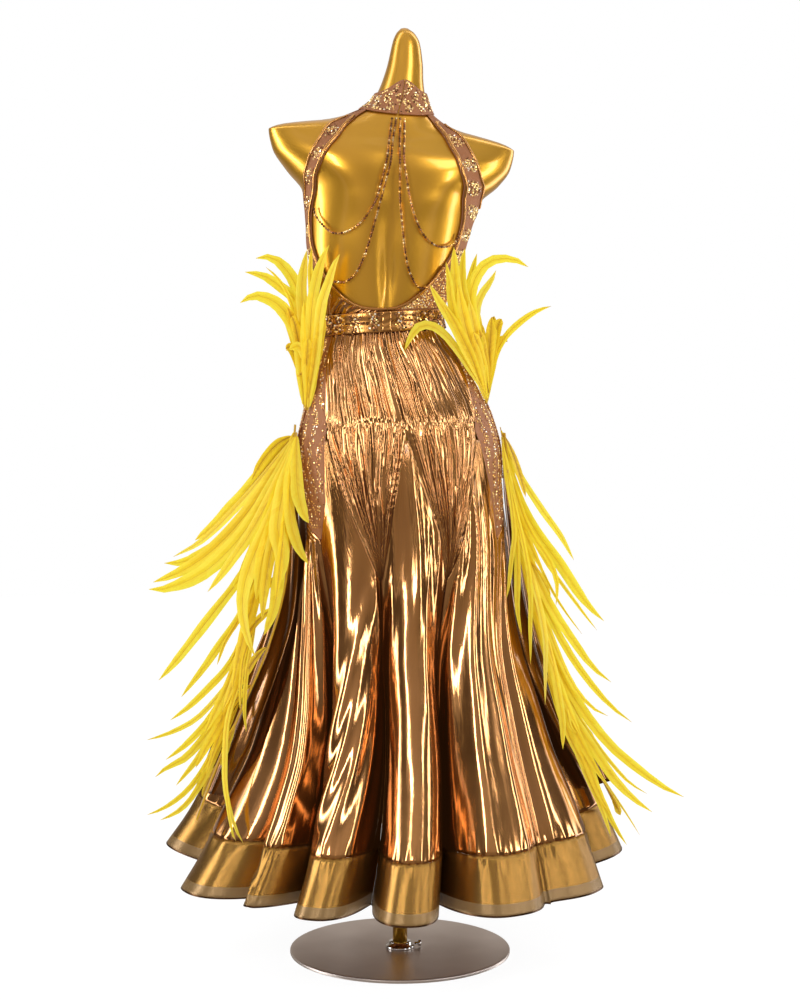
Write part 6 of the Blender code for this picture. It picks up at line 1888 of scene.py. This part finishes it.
SEEN_RIGHT_DOWN = (
    (0.012, 0.010, 0.000, 0.00, (500, 427), (507, 450), (520, 475), (537, 502), (560, 535), (574, 560)),
    (0.018, 0.000, -0.020, 0.00, (501, 432), (507, 460), (517, 495), (535, 530), (560, 565),
     (585, 602), (604, 621)),
    (0.007, 0.000, -0.020, 0.03, (505, 450), (522, 515), (542, 555), (560, 582), (582, 612),
     (597, 630)),
    (0.005, 0.000, -0.010, 0.08, (506, 460), (522, 525), (532, 550), (550, 587), (565, 612),
     (582, 634)),
    (0.010, -0.020, -0.050, 0.05, (504, 450), (520, 507), (532, 535), (550, 562), (557, 585),
     (556, 606)),
    (0.015, -0.010, -0.040, 0.02, (504, 455), (522, 535), (535, 575), (552, 610), (572, 640),
     (592, 667), (611, 682)),
    (0.012, -0.010, -0.040, 0.03, (508, 480), (527, 560), (542, 602), (565, 647), (585, 677),
     (610, 705), (632, 722)),
    (0.011, -0.020, -0.060, 0.05, (514, 520), (532, 590), (547, 627), (562, 665), (577, 692),
     (595, 710), (608, 716)),
    (0.017, -0.020, -0.060, 0.00, (518, 540), (534, 600), (547, 640), (562, 677), (585, 715),
     (610, 745), (635, 767), (660, 785), (684, 797)),
    (0.007, -0.030, -0.070, 0.08, (545, 640), (572, 705), (590, 735), (605, 755), (627, 780),
     (647, 794)),
    (0.016, -0.040, -0.080, 0.00, (530, 590), (543, 640), (557, 685), (572, 717), (592, 747),
     (615, 780), (635, 800), (652, 812)),
    (0.007, -0.030, -0.080, 0.12, (550, 660), (568, 720), (585, 752), (605, 782), (625, 812),
     (640, 835)),
    (0.012, -0.050, -0.090, 0.10, (545, 660), (567, 732), (582, 760), (597, 792), (614, 825),
     (627, 845)),
    (0.012, -0.050, -0.090, 0.14, (545, 670), (562, 720), (577, 752), (590, 782), (602, 810),
     (611, 837)),
    (0.007, -0.060, -0.090, 0.05, (560, 690), (566, 712), (570, 727), (577, 733)),
    (0.011, -0.050, -0.080, 0.12, (508, 470), (516, 540), (517, 575), (517, 610), (522, 636)),
    (0.008, -0.055, -0.080, 0.00, (509, 480), (525, 552), (530, 590), (530, 627), (530, 664)),
    (0.008, -0.055, -0.080, 0.05, (507, 470), (514, 530), (512, 552), (509, 580), (506, 598)),
    (0.014, -0.050, -0.090, 0.03, (516, 530), (535, 590), (544, 635), (545, 665), (543, 703)),
    (0.014, -0.050, -0.095, 0.03, (530, 600), (550, 655), (557, 690), (562, 722), (562, 748)),
    (0.014, -0.030, -0.060, 0.05, (502, 440), (508, 475), (516, 520), (526, 560), (535, 590)),
    (0.012, -0.010, -0.040, 0.08, (502, 436), (506, 470), (516, 510), (532, 550), (545, 575)),
    (0.014, -0.030, -0.070, 0.10, (510, 500), (522, 550), (534, 600), (548, 645), (556, 672)),
    (0.014, -0.040, -0.080, 0.05, (524, 570), (540, 630), (556, 680), (570, 712), (582, 738)),
    (0.014, -0.045, -0.085, 0.12, (540, 640), (558, 690), (574, 728), (592, 762), (606, 784)),
    (0.013, -0.050, -0.090, 0.15, (552, 680), (570, 725), (586, 760), (600, 795), (612, 815)),
)
for side, strip, rows, fills, seed in (
        ("left", STRIP_LEFT_UP, SEEN_LEFT_UP, FEATHERS_LEFT_UP, 71),
        ("right", STRIP_RIGHT_UP, SEEN_RIGHT_UP, FEATHERS_RIGHT_UP, 72)):
    add_plumes("plumes_%s_up" % side, np.linspace(*map(np.array, strip), 6), STRIP_UP_WIDTH, rows,
               upward_fills(strip, fills), "feathers_%s_up" % side, seed)
for side, strip, rows, fills, seed in (
        ("left", STRIP_LEFT_DOWN, SEEN_LEFT_DOWN, FEATHERS_LEFT_DOWN, 73),
        ("right", STRIP_RIGHT_DOWN, SEEN_RIGHT_DOWN, FEATHERS_RIGHT_DOWN, 74)):
    add_plumes("plumes_%s_down" % side, smooth_path(strip, 30), STRIP_DOWN_WIDTH, rows,
               downward_fills(strip, fills), "feathers_%s_down" % side, seed)


# ---------------------------------------------------------------- dress form and stand
FORM_FOOT = 0.806        # lowest full ring of the form, over its rounded underside
FORM_NECK = 1.40         # from here up the rings lie closer
FORM_COLUMNS = 132


def add_form():
    """The limbless form, closed and rounded below and drawn to a small point above."""
    levels = np.concatenate((np.linspace(FORM_FOOT, FORM_NECK, 84),
                             np.linspace(FORM_NECK, SECTIONS[-1][0], 60)[1:]))
    turn = np.linspace(0.0, 360.0, FORM_COLUMNS + 1)[None, :-1]
    turn = np.broadcast_to(turn, (len(levels), FORM_COLUMNS))
    level = np.broadcast_to(levels[:, None], turn.shape)
    rings = form_point(turn, level)
    low = rings[0]
    floor = np.array([low * (share, share, 1.0) - (0, 0, drop)
                      for share, drop in ((0.0, 0.006), (0.5, 0.006), (0.90, 0.0055),
                                          (0.965, 0.0035))])
    top = rings[-1].mean(axis=0) + (0.0, 0.0, NECK_TOP_RISE)
    tip = np.stack([rings[-1] * (1 - s) + top * s for s in (0.45, 1.0)])
    points = np.concatenate((floor, rings, tip))
    made = grid_mesh("gold_dress_form", points, GOLD, closed=True)
    return piece(made, "form_gold", "dress_form")


add_form()


def turned(name, profile, sides, finish, slot, nodes, centre=(0.0, 0.0, 0.0), lying=False):
    """A turned part from (radius, height) pairs."""
    angles = np.arange(sides) * 2.0 * math.pi / sides
    rings = np.array([np.stack((r * np.cos(angles), r * np.sin(angles), 0 * angles + h), axis=-1)
                      for r, h in profile])
    if lying:
        rings = np.stack((rings[..., 2], rings[..., 1], -rings[..., 0]), axis=-1)
    made = grid_mesh(name, rings + np.array(centre), finish, closed=True)
    return piece(made, slot, *nodes)


AXIS_RADIUS = 0.0001     # of the ring that closes a turned part on its axis
FOOT = BASE_THICKNESS + GAP
turned("steel_base",
       ((AXIS_RADIUS, 0.0), (BASE_RADIUS - 0.0014, 0.0), (BASE_RADIUS - 0.0004, 0.0005),
        (BASE_RADIUS, 0.0014), (BASE_RADIUS, BASE_THICKNESS - 0.0016),
        (BASE_RADIUS - 0.0005, BASE_THICKNESS - 0.0005), (BASE_RADIUS - 0.0018, BASE_THICKNESS),
        (BASE_RADIUS - 0.006, BASE_THICKNESS), (AXIS_RADIUS, BASE_THICKNESS)),
       160, STEEL, "polished_steel", ("base_disc",))
turned("chrome_flange",
       ((POLE_RADIUS + GAP, FOOT), (FLANGE_RADIUS - 0.0006, FOOT), (FLANGE_RADIUS, FOOT + 0.0006),
        (FLANGE_RADIUS, FOOT + 0.0036), (FLANGE_RADIUS - 0.0008, FOOT + 0.0046),
        (FLANGE_RADIUS - 0.0050, FOOT + 0.0066), (FLANGE_RADIUS - 0.0058, FOOT + 0.0112),
        (FLANGE_RADIUS - 0.0066, FOOT + FLANGE_HEIGHT),
        (POLE_RADIUS + GAP, FOOT + FLANGE_HEIGHT)),
       96, CHROME, "chrome", ("base_flange",))
turned("gold_pole",
       ((AXIS_RADIUS, FOOT), (POLE_RADIUS, FOOT), (POLE_RADIUS, 0.3), (POLE_RADIUS, 0.55),
        (POLE_RADIUS, FORM_BOTTOM - GAP), (AXIS_RADIUS, FORM_BOTTOM - GAP)),
       64, GOLD, "form_gold", ("pole",))
turned("thumb_screw",
       ((AXIS_RADIUS, 0.0), (0.0025, 0.0), (0.0025, 0.0058), (0.0044, 0.0062), (0.0055, 0.0070),
        (0.0055, 0.0110), (0.0046, 0.0118), (AXIS_RADIUS, 0.0120)),
       24, CHROME, "chrome", ("clamp_screw",), (FLANGE_RADIUS + GAP, 0.0, FOOT + SCREW_HEIGHT),
       True)


# ---------------------------------------------------------------- floor, lights and world
FLOOR_RADIUS = 6.0


def add_floor():
    finish = Finish("studio floor")
    finish.set(Base_Color=finish.mix(finish.noise(finish.place, (3.0, 3.0, 3.0), 2.0),
                                     (0.16, 0.16, 0.16), (0.14, 0.14, 0.14)), Roughness=0.8,
               Emission_Color=(1.0, 1.0, 1.0), Emission_Strength=0.93, Specular_IOR_Level=0.0)
    angles = np.radians(np.arange(0.0, 360.0, 5.0))
    rim = np.stack((np.cos(angles), np.sin(angles), 0.0 * angles), axis=-1) * FLOOR_RADIUS
    floor = add_mesh("floor", rim - (0.0, 0.0, 0.0002), [list(range(len(angles)))],
                     finish.material)
    floor.visible_glossy = False
    floor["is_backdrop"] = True


# name, turn from the camera's direction, distance, height, size and power of each light
LIGHTS = (("key", -30.0, 3.2, 2.1, (0.45, 1.7), 30.0), ("fill", 42.0, 3.4, 1.6, (0.40, 1.9), 20.0),
          ("left_strip", -84.0, 2.4, 1.1, (0.35, 2.2), 14.0),
          ("high_right", 40.0, 2.5, 3.3, (1.0, 1.0), 13.0),
          ("right_strip", 80.0, 2.4, 1.1, (0.35, 2.2), 14.0))
LIGHTS_AIM = (0.0, 0.0, 0.9)


def add_light(name, turn, distance, height, size, power):
    """A soft rectangular light at a turn from the camera's direction, aimed at the dress."""
    data = bpy.data.lights.new(name, "AREA")
    data.shape = "RECTANGLE"
    data.size, data.size_y = size
    data.energy = power
    lamp = bpy.data.objects.new(name, data)
    angle = CAMERA_TURN + math.radians(turn)
    spot = np.array((math.sin(angle) * distance, -math.cos(angle) * distance, height))
    lamp.location = spot
    direction = np.array(LIGHTS_AIM) - spot
    flat = math.hypot(direction[0], direction[1])
    lamp.rotation_euler = (math.atan2(flat, -direction[2]), 0.0,
                           math.atan2(direction[1], direction[0]) - math.pi / 2)
    bpy.context.collection.objects.link(lamp)


# What the cloth mirrors: turn from the camera's direction in degrees, and strength there.
STUDIO = ((-180.0, 0.50), (-150.0, 0.34), (-128.0, 0.10), (-104.0, 0.08), (-97.0, 3.0),
          (-86.0, 3.0), (-78.0, 0.10), (-50.0, 0.09), (-44.0, 0.55), (-38.0, 0.14), (-20.0, 0.32),
          (0.0, 0.31), (20.0, 0.27), (40.0, 0.10), (52.0, 0.60), (58.0, 0.09), (86.0, 0.08),
          (112.0, 0.07), (119.0, 2.7), (129.0, 2.7), (138.0, 0.08), (160.0, 0.34), (180.0, 0.50))
STUDIO_TOP = 0.25        # added towards the ceiling
STUDIO_SOFT = 0.46       # even light that everything dull receives
STUDIO_WARMTH = (1.0, 0.78, 0.56)    # tint of the studio's dimmest parts
STUDIO_WHITE = 0.9       # strength from which a part of the studio is white


def add_world():
    """White to the camera; to the cloth, a dim studio with upright bright panels round it."""
    world = bpy.data.worlds.new("studio")
    world.use_nodes = True
    tree = world.node_tree
    tree.nodes.clear()

    def node(kind, **settings):
        made = tree.nodes.new(kind)
        for key, value in settings.items():
            setattr(made, key, value)
        return made

    def background(strength, colour=None):
        made = node("ShaderNodeBackground")
        made.inputs["Color"].default_value = (1.0, 1.0, 1.0, 1.0)
        if colour is not None:
            tree.links.new(colour, made.inputs["Color"])
        if isinstance(strength, float):
            made.inputs["Strength"].default_value = strength
        else:
            tree.links.new(strength, made.inputs["Strength"])
        return made.outputs[0]

    def either(choice, first, second):
        made = node("ShaderNodeMixShader")
        tree.links.new(choice, made.inputs[0])
        tree.links.new(first, made.inputs[1])
        tree.links.new(second, made.inputs[2])
        return made.outputs[0]

    place = node("ShaderNodeTexCoord")
    turned_round = node("ShaderNodeMapping")
    turned_round.inputs["Rotation"].default_value = (0.0, 0.0, -CAMERA_TURN)
    tree.links.new(place.outputs["Generated"], turned_round.inputs["Vector"])
    split = node("ShaderNodeSeparateXYZ")
    tree.links.new(turned_round.outputs[0], split.inputs[0])
    away = node("ShaderNodeMath", operation="MULTIPLY")
    away.inputs[1].default_value = -1.0
    tree.links.new(split.outputs["Y"], away.inputs[0])
    angle = node("ShaderNodeMath", operation="ARCTAN2")
    tree.links.new(split.outputs["X"], angle.inputs[0])
    tree.links.new(away.outputs[0], angle.inputs[1])
    share = node("ShaderNodeMapRange")
    share.inputs["From Min"].default_value = -math.pi
    share.inputs["From Max"].default_value = math.pi
    tree.links.new(angle.outputs[0], share.inputs["Value"])
    ramp = node("ShaderNodeValToRGB")
    tree.links.new(share.outputs[0], ramp.inputs[0])
    while len(ramp.color_ramp.elements) < len(STUDIO):
        ramp.color_ramp.elements.new(0.5)
    for end, (turn, value) in zip(ramp.color_ramp.elements, STUDIO):
        end.position = (turn + 180.0) / 360.0
        white = min(1.0, value / STUDIO_WHITE)
        end.color = (*(value * (tint + (1.0 - tint) * white) for tint in STUDIO_WARMTH), 1.0)
    up = node("ShaderNodeMapRange")
    up.inputs["From Min"].default_value = 0.25
    up.inputs["From Max"].default_value = 0.85
    up.inputs["To Max"].default_value = STUDIO_TOP
    tree.links.new(split.outputs["Z"], up.inputs["Value"])
    total = node("ShaderNodeAddShader")
    tree.links.new(background(1.0, ramp.outputs[0]), total.inputs[0])
    tree.links.new(background(up.outputs[0]), total.inputs[1])
    rays = node("ShaderNodeLightPath")
    mirrored = either(rays.outputs["Is Diffuse Ray"], total.outputs[0], background(STUDIO_SOFT))
    seen = either(rays.outputs["Is Camera Ray"], mirrored, background(1.0))
    tree.links.new(seen, node("ShaderNodeOutputWorld").inputs["Surface"])
    bpy.context.scene.world = world


add_floor()
add_world()
for name, turn, distance, height, size, power in LIGHTS:
    add_light(name, turn, distance, height, size, power)
bpy.context.scene.view_settings.view_transform = "Standard"

# ---------------------------------------------------------------- the cloth's cut
# Each piece of cloth: width and length of its cut, the cut's area where it isn't a rectangle,
# how it is held, what it hangs from or lies on, and the trimmings that go with it.
SHEETS = (
    ("pleated_yoke_back", 0.370, 0.175, None, "gathered", ("dress_form", "folded_belt"), ()),
    ("pleated_yoke_front", 0.310, 0.175, None, "gathered", ("dress_form", "folded_belt"), ()),
    ("pleated_point_back_left", 0.200, 0.270, 0.0300, "gathered", ("pleated_yoke_back",), ()),
    ("pleated_point_back_right", 0.200, 0.270, 0.0300, "gathered", ("pleated_yoke_back",), ()),
    ("pleated_point_front_left", 0.200, 0.270, 0.0290, "gathered", ("pleated_yoke_front",), ()),
    ("pleated_point_front_right", 0.200, 0.270, 0.0290, "gathered", ("pleated_yoke_front",), ()),
    ("flared_panel_back_centre", 0.300, 0.720, 0.0980, "hung", ("pleated_point_back_left",), ()),
    ("flared_panel_back_left", 0.300, 0.720, 0.0980, "hung", ("pleated_point_back_left",), ()),
    ("flared_panel_back_right", 0.310, 0.720, 0.1020, "hung", ("pleated_point_back_right",), ()),
    ("flared_panel_front_centre", 0.900, 0.720, 0.2400, "hung", ("pleated_point_front_left",), ()),
    ("flared_panel_side_left", 1.350, 0.740, 0.3450, "hung", ("stoned_side_left",), ()),
    ("flared_panel_side_right", 1.020, 0.740, 0.2860, "hung", ("stoned_side_right",), ()),
    ("hem_back_centre", 0.092, 0.310, None, "hung", ("flared_panel_back_centre",), ()),
    ("hem_back_left", 0.092, 0.310, None, "hung", ("flared_panel_back_left",), ()),
    ("hem_back_right", 0.092, 0.325, None, "hung", ("flared_panel_back_right",), ()),
    ("hem_front_centre", 0.092, 0.920, None, "hung", ("flared_panel_front_centre",), ()),
    ("hem_side_left", 0.096, 1.360, None, "hung", ("flared_panel_side_left",), ()),
    ("hem_side_right", 0.094, 1.040, None, "hung", ("flared_panel_side_right",), ()),
    ("stoned_side_left", 0.200, 0.400, 0.0380, "stretched", ("dress_form",),
     ("stones_side_left",)),
    ("stoned_side_right", 0.200, 0.400, 0.0395, "stretched", ("dress_form",),
     ("stones_side_right",)),
    ("stoned_shoulder_left", 0.075, 0.290, 0.0093, "stretched", ("dress_form",),
     ("bound_edge_left_inner", "bound_edge_left_armhole", "stones_shoulder_left")),
    ("stoned_shoulder_right", 0.075, 0.280, 0.0139, "stretched", ("dress_form",),
     ("bound_edge_right_inner", "bound_edge_right_armhole", "stones_shoulder_right")),
    ("pleated_back_left", 0.150, 0.100, 0.0105, "gathered", ("dress_form",),
     ("bound_low_edge_left",)),
    ("stoned_back_right", 0.150, 0.100, 0.0098, "stretched", ("dress_form",),
     ("bound_low_edge_right", "stones_low_back")),
    ("stoned_front", 0.420, 0.380, 0.1350, "stretched", ("dress_form",), ()),
    ("stand_collar", 0.062, 0.370, 0.0145, "stretched", ("dress_form",), ("stones_collar",)),
    ("folded_belt", 0.045, 0.620, None, "folded", ("dress_form",), ("stones_belt",)),
    ("belt_closure", 0.017, 0.036, None, "folded", ("folded_belt",), ()),
    ("stoned_cuff_left", 0.030, 0.096, 0.0025, "stretched", ("stoned_side_left",),
     ("stones_cuff_left",)),
    ("stoned_cuff_right", 0.035, 0.138, 0.0038, "stretched", ("stoned_side_right",),
     ("stones_cuff_right",)),
    ("dark_float_left", 0.085, 0.660, 0.0345, "hung", ("stoned_cuff_left",), ()),
    ("dark_float_right", 0.085, 0.640, 0.0355, "hung", ("stoned_cuff_right",), ()),
)
for name, width, length, area, held, rests_on, trimmings in SHEETS:
    [bpy.data.objects[other] for other in trimmings]
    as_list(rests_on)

size_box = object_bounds()
for box in (cad_box, size_box):
    json.dumps([[float(v) for v in corner] for corner in box]) + "\n"
